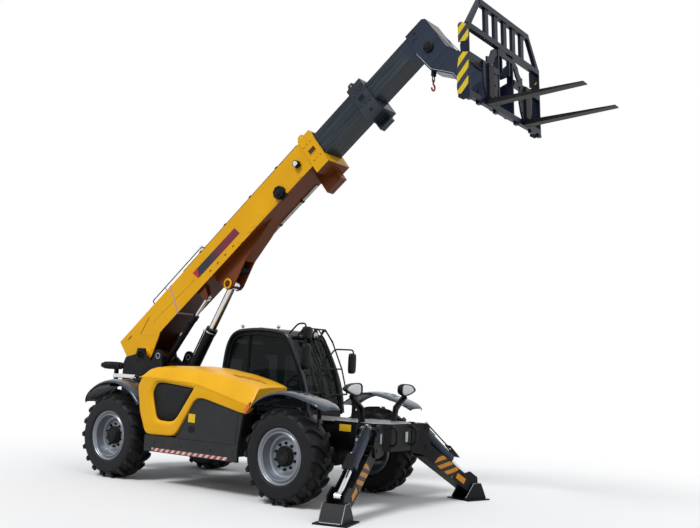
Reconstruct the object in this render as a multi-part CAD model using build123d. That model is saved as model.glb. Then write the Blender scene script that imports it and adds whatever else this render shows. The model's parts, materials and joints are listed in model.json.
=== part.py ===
from build123d import *
import math
import os

# Telehandler, millimetres. +X forward, +Y to the machine's left (the cab side), +Z up.
# Everything is laid out about the point on the ground midway between the axles, and moved
# at the end so that the origin is under the middle of the whole machine's length.

# ---- driving dimensions ---------------------------------------------------------------
WHEELBASE = 3172
TRACK = 1894                  # between the middles of left and right tyres
TYRE_R = 585
TYRE_W = 405
TYRE_BORE = 308
TYRE_SIDES = 30
LUGS = 18                     # on each side of a tyre
LUG_HALF = 90                 # half a lug's reach round the tyre
LUG_WIDTH = 62
RIM_R = 330
KINGPIN_Y = 700
ARM_REACH = 28                # axle arms end this far past the kingpin
STEER_DEG = 33

RAIL_Y = 360                  # outer face of the chassis side plates
RAIL_T = 30
RAIL_TOP = 1010
RAIL_BOTTOM = 700
BELLY_Z = 480
REAR_X = -2420
SIDE_Y = 1130                 # outer face of hood, skirt and tank
CAB_FLOOR = 1012

PIVOT = (-1951, 1745)         # boom pivot, x and z
BOOM_DEG = 39.3               # boom angle as it stands
BOOM_LOW_DEG = -3.0
BOOM_HIGH_DEG = 70.0
TOWER_Y = (290, 330)
TOWER_X = (-2330, -1250)

# telescopic sections, in the boom's own frame: x along it, z above its pivot line
#            start  end    half width  bottom  top   wall
OUTER = dict(start=-370, end=4300, half=215, low=95, high=535, wall=14)
MIDDLE = dict(start=440, end=5330, half=178, low=118, high=470, wall=12)
INNER = dict(start=1290, end=6250, half=146, low=146, high=424, wall=12)
COLLAR_1 = (4080, 4320)
COLLAR_2 = (5075, 5330)
SLIDE_IN = 735                # each section's way back to closed
SLIDE_OUT = 3100              # and on to fully out

CARRIAGE = (3866, 5614)       # middle of the load guard's mid rail, x and z
CARRIAGE_DEG = 3.3            # tines tipped up
TILT_PIN = (-290, -500)       # carriage pivot, in the carriage's frame
TILT_LUG = (-122, -271)       # tilt cylinder's front pin, likewise
TILT_BASE = (6302, 55)        # its rear pin, in the boom's frame
TILT_UP_DEG = 45
TILT_DOWN_DEG = 75
GUARD_W = 1914
GUARD_TOP_W = 1328
TINE_GAP = 989
TINE_L = 1130

LIFT_BASE = (-1510, 950)      # lift cylinder's lower pin, x and z
LIFT_PIN = (1860, -130)       # its upper pin, in the boom's frame
LIFT_Y = 20
COMP_BASE = (-1690, 1490)     # levelling cylinder
COMP_PIN = (1450, -60)
COMP_Y = -130
STAB_YAW = 16                 # the stabiliser legs point this far forward
STAB_HINGE = (2500, 600, 720)
STAB_EYE = (-10, 245)         # upper pin of its cylinder, out and up from the hinge
STAB_PIN = (890, -440)        # lower pin of its cylinder, likewise
STAB_FOOT = (936, -545)       # ankle of the pad, likewise
STAB_UP_DEG = 98
LEG_HALF = 107                # outer faces of a leg's side plates
EAR_OUT = 134                 # outer faces of the bracket's and the shoe's plates
HOOD_HINGE = (-412, 1545)     # y and z of the hood's hinge line
HOOD_OPEN_DEG = 50
DOOR_HINGE = (-335, 1112)     # x and y of the cab door's hinge line
DOOR_OPEN_DEG = 85

FRONT_X = WHEELBASE / 2
REAR_AXLE_X = -WHEELBASE / 2


# ---- small makers ---------------------------------------------------------------------
def block(x, y, z):
    """Box between low and high values along each axis."""
    size = [high - low for low, high in (x, y, z)]
    mid = [(high + low) / 2 for low, high in (x, y, z)]
    return Pos(*mid) * Box(*size)


def plate(outline, y, rounding=0):
    """Flat plate: an outline of (x, z) points, thick from y[0] to y[1]."""
    shape = Polygon(*outline, align=None)
    if rounding:
        shape = fillet(shape.vertices(), rounding)
    return Pos(0, y[1], 0) * extrude(Plane.XZ * shape, y[1] - y[0], dir=(0, -1, 0))


def crosswise(outline, x):
    """Flat plate: an outline of (y, z) points, thick from x[0] to x[1]."""
    face = Plane.YZ * Polygon(*outline, align=None)
    return Pos(x[0], 0, 0) * extrude(face, x[1] - x[0], dir=(1, 0, 0))


def rod(start, end, radius, bore=0):
    """Round bar or tube between two points."""
    axis = Vector(*end) - Vector(*start)
    ring = Circle(radius) - Circle(bore) if bore else Circle(radius)
    return extrude(Plane(origin=start, z_dir=axis) * ring, axis.length)


def cross_pin(x, z, y, radius, bore=0):
    """Pin or bush that lies across the machine."""
    return rod((x, y[0], z), (x, y[1], z), radius, bore)


def bent_bar(points, radius, bends):
    """Round bar along straight runs joined by arcs."""
    path = FilletPolyline(*points, radius=bends)
    return sweep(Plane(origin=path @ 0, z_dir=path % 0) * Circle(radius), path)


def turned(profile, y=0):
    """Ring or wheel about the y axis from (radius, y) points."""
    face = Plane.XY * Polygon(*profile, align=None)
    return Pos(0, y, 0) * revolve(face, Axis.Y)


def mirrored(solid):
    """The same piece on the other side of the machine."""
    return mirror(solid, Plane.XZ)


def box_tube(section, start=None, end=None):
    """Hollow boom section."""
    a = section["start"] if start is None else start
    b = section["end"] if end is None else end
    h, lo, hi, t = section["half"], section["low"], section["high"], section["wall"]
    outside = block((a, b), (-h, h), (lo, hi))
    return outside - block((a - 1, b + 1), (-h + t, h - t), (lo + t, hi - t))


boom_frame = Location((PIVOT[0], 0, PIVOT[1]), (0, -BOOM_DEG, 0))
carriage_frame = Location((CARRIAGE[0], 0, CARRIAGE[1]), (0, -CARRIAGE_DEG, 0))


def in_world(frame, x, z):
    """World x and z of a point given in the boom's or the carriage's frame."""
    p = (frame * Pos(x, 0, z)).position
    return p.X, p.Z


def in_boom(x, z):
    """Boom-frame x and z of a world point."""
    p = (boom_frame.inverse() * Pos(x, 0, z)).position
    return p.X, p.Z


nodes = {}

# ---- chassis --------------------------------------------------------------------------
rail_outline = [(REAR_X, RAIL_BOTTOM), (REAR_X, RAIL_TOP), (2330, RAIL_TOP), (2330, RAIL_BOTTOM),
                (950, RAIL_BOTTOM), (830, BELLY_Z), (-830, BELLY_Z), (-950, RAIL_BOTTOM)]
tower_outline = [(TOWER_X[0], 760), (TOWER_X[0], 1600), (-2276, 1700), (-2060, 1745), (-2020, 1840),
                 (-1880, 1840), (-1850, 1745), (-1560, 1560), (-1400, 1300), (TOWER_X[1], 1010),
                 (TOWER_X[1], 760)]
rails = plate(rail_outline, (RAIL_Y - RAIL_T, RAIL_Y))
nodes["chassis_rails"] = Compound([rails, mirrored(rails)])

INNER_Y = RAIL_Y - RAIL_T
cross = [block((-830, 830), (-INNER_Y, INNER_Y), (BELLY_Z, BELLY_Z + 20))]
for x in (-2400, -1850, -900, 900, 1290, 1900):       # cross members
    reach = TOWER_Y[0] if TOWER_X[0] < x < TOWER_X[1] else INNER_Y
    cross.append(block((x - 10, x + 10), (-reach, reach), (RAIL_BOTTOM + 10, RAIL_TOP - 40)))
for x in (FRONT_X, REAR_AXLE_X):                       # axle seats
    for low in (-INNER_Y, 205):
        seat_y = (low, low + INNER_Y - 205)
        cross.append(block((x - 130, x + 130), seat_y, (RAIL_BOTTOM - 6, RAIL_BOTTOM + 40)))
nodes["chassis_cross_members"] = Compound(cross)

tower = cross_pin(*PIVOT, (-345, 345), 45)
for side in (-1, 1):
    tower += plate(tower_outline, sorted((side * TOWER_Y[0], side * TOWER_Y[1])))
for pin in (LIFT_BASE, COMP_BASE):
    tower += cross_pin(*pin, (-TOWER_Y[1] + 10, TOWER_Y[1] - 10), 30)
nodes["boom_tower"] = tower

# ---- rear counterweight, engine block, axles ---------------------------------------------
weight = plate([(REAR_X - 130, 640), (REAR_X - 130, 1120), (REAR_X - 60, 1180), (REAR_X, 1180),
                (REAR_X, 560), (REAR_X - 60, 560)], (-620, 620))
nodes["counterweight"] = weight
nodes["engine_block"] = block((-600, 420), (-900, -RAIL_Y), (700, 1330))

axles = []
for x in (FRONT_X, REAR_AXLE_X):
    beam = rod((x, -560, TYRE_R), (x, 560, TYRE_R), 85)
    bowl = turned([(0, -190), (70, -180), (150, -100), (172, -30), (172, 30), (150, 100), (70, 180),
                   (0, 190)])
    beam += Pos(x, 0, TYRE_R) * bowl
    for low in (-330, 205):
        beam += block((x - 110, x + 110), (low, low + 125), (TYRE_R + 40, RAIL_BOTTOM - 6))
    for side in (-1, 1):
        beam += block((x - 75, x + 75), sorted((side * 560, side * 600)), (TYRE_R - 165, TYRE_R + 165))
        for z in (TYRE_R - 165, TYRE_R + 130):
            arm = sorted((side * 600, side * (KINGPIN_Y + ARM_REACH)))
            beam += block((x - 52, x + 52), arm, (z, z + 35))
    axles.append(beam)
nodes["axles"] = axles[0] + axles[1]

# ---- wheels and knuckles, made for the left side about the wheel's centre ---------------------
def tyre_ring(radius, y):
    """Many-sided outline of the tyre at one y."""
    return Plane((0, y, 0), x_dir=(1, 0, 0), z_dir=(0, -1, 0)) * RegularPolygon(radius, TYRE_SIDES)


tyre_half = TYRE_W / 2
tyre_lines = [(312, -160), (480, -tyre_half), (548, -150), (548, 150), (480, tyre_half), (312, 160)]
carcass = loft([tyre_ring(radius, y) for radius, y in tyre_lines], ruled=True)
carcass -= extrude(tyre_ring(TYRE_BORE, TYRE_W), 2 * TYRE_W)

# The machine stands on the corners of two neighbouring lugs, a quarter of a pitch round from
# the middle of each. LUG_TOP is the height of a lug's flat face that puts them on the ground.
quarter = math.radians(90 / LUGS)
LUG_TOP = (TYRE_R - LUG_HALF * math.sin(quarter)) / math.cos(quarter)
lug = crosswise([(12, -LUG_HALF), (12, LUG_WIDTH - LUG_HALF), (192, LUG_HALF), (192, LUG_HALF - LUG_WIDTH)],
                (478, LUG_TOP))
lugs = []
for turn in range(LUGS):
    angle = turn * 360 / LUGS - 90
    lugs.append(Rot(0, 90 / LUGS - angle, 0) * lug)
    lugs.append(Rot(0, -90 / LUGS - angle, 0) * mirrored(lug))
tyre = carcass + lugs

rim_profile = [(306, -170), (RIM_R, -196), (RIM_R, -204), (295, -180), (280, -120), (280, -20), (170, 0),
               (60.5, 0), (60.5, 45), (165, 45), (185, 30), (262, 60), (285, 150), (298, 196), (RIM_R, 204),
               (RIM_R, 196), (306, 170)]
rim = turned(rim_profile)
hub = turned([(0, 44), (120, 44), (120, 110), (95, 130), (0, 130)])
for turn in range(10):
    a = math.radians(36 * turn)
    hub += rod((142 * math.cos(a), 44, 142 * math.sin(a)), (142 * math.cos(a), 75, 142 * math.sin(a)), 14)
rim += hub
knuckle_y = KINGPIN_Y - TRACK / 2
knuckle = turned([(0, knuckle_y + 60), (150, knuckle_y + 60), (170, knuckle_y + 100), (170, -60), (120, -6),
                  (58, -6), (58, 40), (0, 40)])
knuckle += rod((0, knuckle_y, -125), (0, knuckle_y, 125), 62)
knuckle += block((-50, 50), (knuckle_y, knuckle_y + 80), (-120, 120))

for end, x in (("front", FRONT_X), ("rear", REAR_AXLE_X)):
    for side in ("left", "right"):
        for name, piece in (("tyre", tyre), ("rim", rim), ("knuckle", knuckle)):
            whole = piece if side == "left" else mirrored(piece)
            y = TRACK / 2 if side == "left" else -TRACK / 2
            nodes[f"{name}_{end}_{side}"] = Pos(x, y, TYRE_R) * whole

# ---- hood, its grille, and the dark panel and skirt under it ----------------------------------
# The hood is a shell along the right side: its side, its top in two slopes that meet at the
# shoulder, a wall at each end, and a window for the grille. It turns on two hinge tubes.
HOOD_INNER_Y = -430
HOOD_WALL = 34
#              x     inner edge, shoulder and crease heights
hood_lines = ((-1020, 1400, 1385, 1310), (-930, 1530, 1512, 1420), (-740, 1600, 1580, 1421),
              (-300, 1612, 1590, 1398), (80, 1592, 1566, 1379), (500, 1535, 1513, 1276),
              (850, 1462, 1445, 1188), (1070, 1385, 1374, 1133))
hood_outline = [(-1030, 1620), (-1030, 1302), (-954, 951), (-815, 666), (-240, 680), (74, 1156), (157, 1204),
                (286, 1207), (1003, 1053), (1072, 1133), (1072, 1620)]


def hood_section(inner, shoulder, crease):
    """The hood's wall across the machine, as (y, z) points."""
    shoulder_y = -1030
    return [(-SIDE_Y, 640), (-SIDE_Y, crease), (shoulder_y, shoulder), (HOOD_INNER_Y, inner),
            (HOOD_INNER_Y, inner - HOOD_WALL), (shoulder_y + 12, shoulder - HOOD_WALL),
            (HOOD_WALL - SIDE_Y, crease - HOOD_WALL / 2), (HOOD_WALL - SIDE_Y, 640)]


hood_faces = []
for x, *heights in hood_lines:
    hood_faces.append(Pos(x, 0, 0) * (Plane.YZ * Polygon(*hood_section(*heights), align=None)))
hood = loft(hood_faces, ruled=True) & plate(hood_outline, (-SIDE_Y - 5, HOOD_INNER_Y + 5))
rear_wall = plate([(-1010, 1380), (-1020, 1302), (-946, 951), (-807, 670), (-780, 670), (-918, 951),
                   (-990, 1302), (-980, 1380)], (-SIDE_Y + 5, HOOD_INNER_Y))
front_wall = crosswise([(-SIDE_Y + 5, 1070), (-SIDE_Y + 5, 1130), (-1030, 1366), (HOOD_INNER_Y, 1375),
                        (HOOD_INNER_Y, 1180)], (1038, 1068))
hood += rear_wall + front_wall
hood -= cross_pin(FRONT_X, TYRE_R, (-1200, -400), 800)
hood -= cross_pin(REAR_AXLE_X, TYRE_R, (-1200, -400), 795)
window_outline = [(-654, 1392), (58, 1332), (-276, 856), (-623, 862), (-744, 1236)]
hood -= plate(window_outline, (-SIDE_Y - 10, -SIDE_Y + 60))
HINGE_Y, HINGE_Z = HOOD_HINGE
hinge_posts = []
for x in (-680, 500):                                    # hinge tubes and the posts that carry them
    strap = block((x - 60, x), (HOOD_INNER_Y - 10, HINGE_Y - 6), (HINGE_Z - 8, HINGE_Z + 8))
    strap -= rod((x - 60, HINGE_Y, HINGE_Z), (x, HINGE_Y, HINGE_Z), 12.5)
    hood += strap + rod((x - 60, HINGE_Y, HINGE_Z), (x, HINGE_Y, HINGE_Z), 13, 6)
    hood += block((x - 60, x), (HOOD_INNER_Y - 10, HOOD_INNER_Y), (HINGE_Z - 60, HINGE_Z + 60))
    post = rod((x + 5, HINGE_Y, HINGE_Z), (x + 45, HINGE_Y, HINGE_Z), 13)
    post += rod((x - 55, HINGE_Y, HINGE_Z), (x + 20, HINGE_Y, HINGE_Z), 5.7)
    post += block((x + 5, x + 45), (-405, -393), (RAIL_TOP, HINGE_Z))
    post += block((x + 5, x + 45), (-405, -RAIL_Y + RAIL_T - 5), (RAIL_TOP, RAIL_TOP + 12))
    hinge_posts.append(post)
nodes["hood"] = hood
nodes["hood_hinge_posts"] = Compound(hinge_posts)
nodes["hood_grille"] = plate(window_outline, (-SIDE_Y + 15, -SIDE_Y + 39))

skirt = block((-820, 900), (-SIDE_Y, -SIDE_Y + 40), (445, 660))
skirt += plate([(-215, 660), (90, 1150), (160, 1196), (284, 1199), (890, 1069), (960, 1045), (900, 660)],
               (-SIDE_Y, -SIDE_Y + 40))
for x in (-790, 790):
    skirt += block((x - 12, x + 12), (-SIDE_Y + 20, -RAIL_Y), (500, 640))
nodes["side_skirt"] = skirt

# ---- left side: tank and steps below the cab ------------------------------------------------
tank = block((-800, 100), (420, SIDE_Y), (460, 960))
tank += block((-780, -740), (RAIL_Y, 430), (520, 700)) + block((40, 80), (RAIL_Y, 430), (520, 700))
nodes["side_tank"] = tank
steps = None
for x in (130, 790):
    upright = block((x, x + 40), (RAIL_Y, SIDE_Y - 30), (440, CAB_FLOOR))
    steps = upright if steps is None else steps + upright
for z in (440, 680):
    steps += block((130, 830), (820, SIDE_Y), (z, z + 30))
steps += block((130, 830), (RAIL_Y, 840), (440, 470)) + block((130, 830), (820, 850), (440, CAB_FLOOR))
nodes["cab_steps"] = steps

# ---- fenders -------------------------------------------------------------------------------
fender = turned([(760, 735), (782, 735), (782, 1150), (745, 1150), (745, 1135), (760, 1135)])
fenders = []
for x, low, high in ((FRONT_X, 38, 133), (REAR_AXLE_X, 38, 146)):
    wedge = Polygon((0, 0), *[(1200 * math.cos(math.radians(a)), 1200 * math.sin(math.radians(a)))
                              for a in (low, (2 * low + high) / 3, (low + 2 * high) / 3, high)], align=None)
    keep = Pos(0, 1300, 0) * extrude(Plane.XZ * wedge, 700, dir=(0, -1, 0))
    arch = Pos(x, 0, TYRE_R) * (fender & keep)
    stay = block((x - 30, x + 30), (RAIL_Y, 745), (TYRE_R + 756, TYRE_R + 778))
    stay += block((x - 30, x + 30), (RAIL_Y, RAIL_Y + 25), (RAIL_TOP - 60, TYRE_R + 778))
    fenders += [arch + stay, mirrored(arch + stay)]
nodes["fenders"] = Compound(fenders)

# ---- front frame with stabiliser brackets, platform and lifting loops --------------------------
stab_frame = Location(STAB_HINGE, (0, 0, -STAB_YAW))
FRONT_TOP = 1025
prow = [(1850, -395), (2450, -395), (2600, -225), (2600, 225), (2450, 395), (1850, 395)]
front = Pos(0, 0, 690) * extrude(Polygon(*prow, align=None), FRONT_TOP - 690)
front -= block((1840, 2420), (-RAIL_Y, RAIL_Y), (650, RAIL_TOP))
front -= block((2410, 2560), (-215, 215), (650, RAIL_TOP))
bracket_outline = [(-260, -60), (-260, 290), (-60, 305), (10, 300), (42, 275), (48, 225), (30, 170), (62, 80),
                   (80, 30), (80, -40), (45, -80), (-60, -95)]
for low in (-EAR_OUT, EAR_OUT - 20):
    ear = stab_frame * crosswise(bracket_outline, (low, low + 20))
    front += ear + mirrored(ear)
for u, z in ((0, 0), STAB_EYE):
    pin = stab_frame * rod((-EAR_OUT - 8, u, z), (EAR_OUT + 8, u, z), 26)
    front += pin + mirrored(pin)
for y in (-225, 225):                                   # lifting loops on the front face
    front += bent_bar([(2590, y, 985), (2680, y, 985), (2680, y, 765), (2590, y, 765)], 16, 60)
for side in (-1, 1):                                    # head lamp arms
    arm = [(2250, side * 350, FRONT_TOP - 5), (2262, side * 390, 1200), (2262, side * 606, 1330)]
    front += bent_bar(arm, 20, 60)
nodes["front_frame"] = front
lamps = []
for side in (-1, 1):
    lamp = block((2215, 2300), sorted((side * 530, side * 690)), (1350, 1510))
    lamps.append(fillet(lamp.edges().filter_by(Axis.X), 40))
nodes["head_lamps"] = Compound(lamps)

# ---- cab -----------------------------------------------------------------------------------
CAB_Y = (300, 1100)
CAB_WALL = 50
cab_back = Polyline((865, CAB_FLOOR), (-830, CAB_FLOOR), (-800, 1570), (-740, 1950), (-640, 2120),
                    (-520, 2185), (-100, 2215), (330, 2170), (430, 2110))
cab_nose = ThreePointArc((430, 2110), (715, 1600), (865, CAB_FLOOR))
cab_face = make_face(cab_back + cab_nose)


def cab_prism(inset, y):
    """The cab's side outline, drawn in by a distance, across a stretch of y."""
    face = offset(cab_face, -inset) if inset else cab_face
    return Pos(0, y[1], 0) * extrude(Plane.XZ * face, y[1] - y[0], dir=(0, -1, 0))


cab_inside = cab_prism(CAB_WALL, (CAB_Y[0] + CAB_WALL, CAB_Y[1] - CAB_WALL))
shell = cab_prism(0, CAB_Y) - cab_inside
inner_y = (CAB_Y[0] + 55, CAB_Y[1] - 55)
front_gap = block((350, 1000), inner_y, (1080, 2085))
rear_gap = block((-900, -600), inner_y, (1480, 2050))
right_gap = cab_prism(85, (CAB_Y[0] - 10, CAB_Y[0] + CAB_WALL + 10))
right_gap &= block((-790, 900), (0, 500), (1150, 2200))
pillar = block((-340, -295), CAB_Y, (CAB_FLOOR, 2190))
left_band = (CAB_Y[1] - CAB_WALL - 10, CAB_Y[1] + 10)
rear_quarter = cab_prism(85, left_band) & block((-790, -390), (900, 1200), (1150, 2200))
door_hole = cab_prism(60, left_band) & block((-330, 900), (900, 1200), (1000, 2200))
shell -= front_gap + rear_gap + (right_gap - pillar) + rear_quarter + door_hole
for z in (1345, 1945):                                  # door hinge pins, each in a lug on the pillar
    shell += rod((*DOOR_HINGE, z), (*DOOR_HINGE, z + 40), 12.5)
    shell += rod((*DOOR_HINGE, z - 70), (*DOOR_HINGE, z), 5.7)
    shell += block((DOOR_HINGE[0] - 40, DOOR_HINGE[0]), (CAB_Y[1] - 5, CAB_Y[1] + 8), (z, z + 40))
nodes["cab_shell"] = shell

pane_zone = cab_prism(14, (CAB_Y[0] + 14, CAB_Y[1] - 14)) - cab_prism(22, (CAB_Y[0] + 22, CAB_Y[1] - 22))
panes = [pane_zone & gap for gap in (front_gap, rear_gap, right_gap - pillar, rear_quarter)]
nodes["cab_glass"] = Compound([solid for pane in panes for solid in pane.solids()])

door_out = cab_prism(66, (CAB_Y[1] - CAB_WALL, CAB_Y[1])) & block((-324, 900), (900, 1200), (1006, 2200))
door_window = cab_prism(120, left_band) & block((-270, 850), (900, 1200), (1180, 2200))
for z in (1280, 1880):
    strap = block((DOOR_HINGE[0], -280), (CAB_Y[1], CAB_Y[1] + 8), (z, z + 60))
    strap -= rod((*DOOR_HINGE, z), (*DOOR_HINGE, z + 60), 12)
    door_out += strap + rod((*DOOR_HINGE, z), (*DOOR_HINGE, z + 60), 12, 6)
nodes["cab_door"] = door_out - door_window
nodes["door_glass"] = cab_prism(66, (CAB_Y[1] - 22, CAB_Y[1] - 14)) & door_window

seat = block((-430, 60), (470, 930), (CAB_FLOOR + 52, 1200)) + block((-420, 50), (450, 950), (1200, 1330))
seat += plate([(-420, 1330), (-500, 1950), (-390, 1950), (-300, 1330)], (480, 920))
nodes["seat"] = seat
dash = [(330, CAB_FLOOR + 52), (330, 1250), (460, 1400), (560, 1380), (620, CAB_FLOOR + 52)]
console = plate(dash, (450, 950))
console += rod((450, 700, 1337), (330, 700, 1470), 25)
console += rod((325, 700, 1462), (310, 700, 1480), 180) - rod((335, 700, 1451), (300, 700, 1491), 155)
console += rod((322, 530, 1474), (322, 870, 1474), 12)
nodes["steering_console"] = console

guard_bars = []
for y in (560, 730, 900, 1070):
    guard_bars.append([(500, y, 2230), (640, y, 2060), (840, y, 1660), (950, y, 1300)])
guard = None
for points in guard_bars:
    bar = bent_bar(points, 11, [120, 250])
    guard = bar if guard is None else guard + bar
for x, z in ((500, 2230), (840, 1660), (950, 1300)):
    guard += rod((x, 560, z), (x, 1070, z), 11)
for y in (560, 1070):
    guard += rod((500, y, 2230), (395, y, 2120), 11) + rod((950, y, 1300), (780, y, 1300), 11)
guard -= cab_prism(0, CAB_Y)
nodes["windscreen_guard"] = guard

mirror_right = block((735, 775), (262, 420), (1650, 1990)) + block((735, 775), (270, 420), (2075, 2240))
mirror_right += bent_bar([(440, 306, 2135), (620, 290, 2280), (755, 290, 2280), (755, 290, 1800)], 12, 50)
mirror_right -= cab_prism(0, CAB_Y)
mirror_left = block((880, 920), (1180, 1330), (1600, 1820))
mirror_left += bent_bar([(590, 1090, 1850), (620, 1170, 1930), (900, 1255, 1930), (900, 1255, 1800)], 12, 40)
mirror_left -= cab_prism(0, CAB_Y)
nodes["mirrors"] = Compound([mirror_right, mirror_left])

lamps = []
for x, roof_z in ((-640, 2120), (70, 2196)):            # small round lamps on stems along the roof
    lamp = Pos(x, 500, 2240) * Sphere(27) + rod((x, 500, roof_z), (x, 500, 2230), 9)
    lamps.append(lamp - cab_prism(0, CAB_Y))
nodes["roof_lamps"] = Compound(lamps)

pipe = rod((-2190, -600, 1410), (-1700, -600, 1410), 32, 28)
pipe += block((-1800, -1740), (-620, -330), (1380, 1400))
nodes["exhaust"] = pipe
bottle = rod((-2780, -310, 1555), (-2400, -310, 1555), 55)
bottle += rod((-2835, -310, 1555), (-2342, -310, 1555), 40)
bottle += block((-2520, -2480), (-340, -280), (1180, 1520))
bottle += block((-2560, -2440), (-370, -250), (1180, 1192))
nodes["rear_receiver"] = bottle

# ---- boom ------------------------------------------------------------------------------------
h = OUTER["half"]
outer = box_tube(OUTER) - plate([(-390, 60), (-390, 236), (-180, 60)], (-400, 400))
cheek = [(-215, 130), (-215, 60), (-100, -80), (0, -110), (100, -80), (380, 66), (480, 130)]
for side in (-1, 1):
    outer += plate(cheek, sorted((side * (h - 30), side * h)))
    outer -= cross_pin(0, 0, (-400, 400), 45.6)
outer += cross_pin(0, 0, (-284, 284), 85, 45.6)
collar = block(COLLAR_1, (-h - 25, h + 25), (-50, 550))
outer += collar - block((4000, 4400), (-h + 14, h - 14), (OUTER["low"] + 14, OUTER["high"] - 14))
outer += block((3910, COLLAR_1[1] - 115), (60, h - 20), (-190, 100))     # block under the collar
for x, y in ((4149, -h), (247, 0)):                     # lifting eyes
    ear = plate([(x - 60, 530), (x - 60, 560), (x - 35, 605), (x + 35, 605), (x + 60, 560), (x + 60, 530)],
                (y - 10, y + 10))
    outer += ear - cross_pin(x, 575, (y - 20, y + 20), 16)
lift_cheek = [(1700, 95), (1740, -60), (1790, -190), (1860, -225), (1930, -215), (2300, -60), (2750, 20),
              (3050, 95)]
for low in (LIFT_Y - 110, LIFT_Y + 90):
    outer += plate(lift_cheek, (low, low + 20))
    outer += cross_pin(*LIFT_PIN, (low - 12, low + 32), 50)
outer += plate([(2290, -64), (2300, -40), (2750, 40), (3050, 110), (3050, 95), (2750, 20)],
               (LIFT_Y - 100, LIFT_Y + 100))
for low in (COMP_Y - 48, COMP_Y + 36):
    outer += plate([(1360, 95), (1400, -60), (1450, -110), (1500, -60), (1540, 95)], (low, low + 12))
    outer += cross_pin(*COMP_PIN, (low, low + 12), 40)
nodes["boom_outer"] = boom_frame * outer

h = MIDDLE["half"]
middle = box_tube(MIDDLE)
ring = block(COLLAR_2, (-h - 27, h + 27), (-25, 525))
middle += ring - block((5000, 5400), (-h + 12, h - 12), (MIDDLE["low"] + 12, MIDDLE["high"] - 12))
middle += block((COLLAR_2[0] - 10, COLLAR_2[1] - 60), (50, h - 20), (-120, 130))
ear = plate([(5110, 500), (5110, 545), (5135, 585), (5195, 585), (5220, 545), (5220, 500)],
            (-h - 10, -h + 10))
middle += ear - cross_pin(5165, 555, (-h - 20, -h + 20), 14)
nodes["boom_middle"] = boom_frame * middle

head_outline = [(6120, 160), (6150, 443), (6455, 440), (6495, 400), (6485, -126), (6543, -274), (6689, -623),
                (6648, -783), (6430, -1010), (6330, -960), (6320, -800), (6336, -487), (6151, -197)]
HEAD_Y = 170
inner = box_tube(INNER)
for side in (-1, 1):
    inner += plate(head_outline, sorted((side * (HEAD_Y - 24), side * HEAD_Y)))
inner += plate([(6150, 423), (6150, 443), (6455, 440), (6495, 400), (6485, -126), (6465, -126), (6475, 392),
                (6447, 420)], (-150, 150))
inner += plate([(6120, 146), (6151, -197), (6336, -487), (6326, -700), (6306, -700), (6316, -480),
                (6131, -190), (6100, 146)], (-150, 150))
inner += cross_pin(*TILT_BASE, (-HEAD_Y - 22, HEAD_Y + 22), 30)
for low in (-HEAD_Y - 14, HEAD_Y):
    inner += cross_pin(*TILT_BASE, (low, low + 14), 62)
carriage_pin = in_boom(*in_world(carriage_frame, *TILT_PIN))
inner += cross_pin(*carriage_pin, (-HEAD_Y, HEAD_Y), 85)
inner -= cross_pin(*carriage_pin, (-HEAD_Y - 10, HEAD_Y + 10), 35.6)
nodes["boom_inner"] = boom_frame * inner


# ---- hydraulic cylinders: a barrel pinned at its base and a rod that slides in it ---------------
def ram(base, tip, y, barrel_length, radii, rod_start, eye):
    """Barrel and rod between two pins in the x-z plane; radii of barrel, rod; eye radius and half width."""
    b, t = Vector(base[0], y, base[1]), Vector(tip[0], y, tip[1])
    way = (t - b).normalized()
    at = lambda distance: tuple(b + way * distance)
    barrel = rod(at(eye[0] * 0.7), at(barrel_length), radii[0])
    barrel += rod(at(barrel_length - 70), at(barrel_length + 10), radii[0] + 8)
    barrel -= rod(at(eye[0] * 1.5), at(barrel_length + 20), radii[1] + 2)
    barrel += cross_pin(*base, (y - eye[1], y + eye[1]), eye[0])
    barrel -= cross_pin(*base, (y - 200, y + 200), 30.6)
    length = (t - b).length
    stem = rod(at(rod_start), at(length), radii[1])
    stem += cross_pin(*tip, (y - eye[1], y + eye[1]), eye[0] * 0.85)
    return barrel, stem


lift_tip = in_world(boom_frame, *LIFT_PIN)
comp_tip = in_world(boom_frame, *COMP_PIN)
lift_ram = ram(LIFT_BASE, lift_tip, LIFT_Y, 1400, (80, 56), 745, (90, 60))
levelling_ram = ram(COMP_BASE, comp_tip, COMP_Y, 1090, (42, 24), 500, (50, 30))
tilt_base = in_world(boom_frame, *TILT_BASE)
tilt_tip = in_world(carriage_frame, *TILT_LUG)
tilt_ram = ram(tilt_base, tilt_tip, 0, 580, (42, 26), 265, (50, 40))
for name, pieces in (("lift", lift_ram), ("levelling", levelling_ram), ("tilt", tilt_ram)):
    nodes[f"{name}_barrel"], nodes[f"{name}_rod"] = pieces

# ---- fork carriage, load guard and tines --------------------------------------------------------
guard = block((-30, 30), (-GUARD_W / 2, GUARD_W / 2), (-35, 35))
guard += block((-30, 30), (-GUARD_TOP_W / 2, GUARD_TOP_W / 2), (350, 420))
for y in (-480, -240, 0, 240, 480):
    guard += block((-20, 20), (y - 42, y + 42), (30, 360))
slant = crosswise([(GUARD_TOP_W / 2 - 60, 420), (GUARD_TOP_W / 2, 420), (GUARD_W / 2, 35),
                   (GUARD_W / 2, -35), (GUARD_W / 2 - 70, 20)], (-25, 25))
guard += slant + mirrored(slant)
nodes["load_guard"] = carriage_frame * guard

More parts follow.
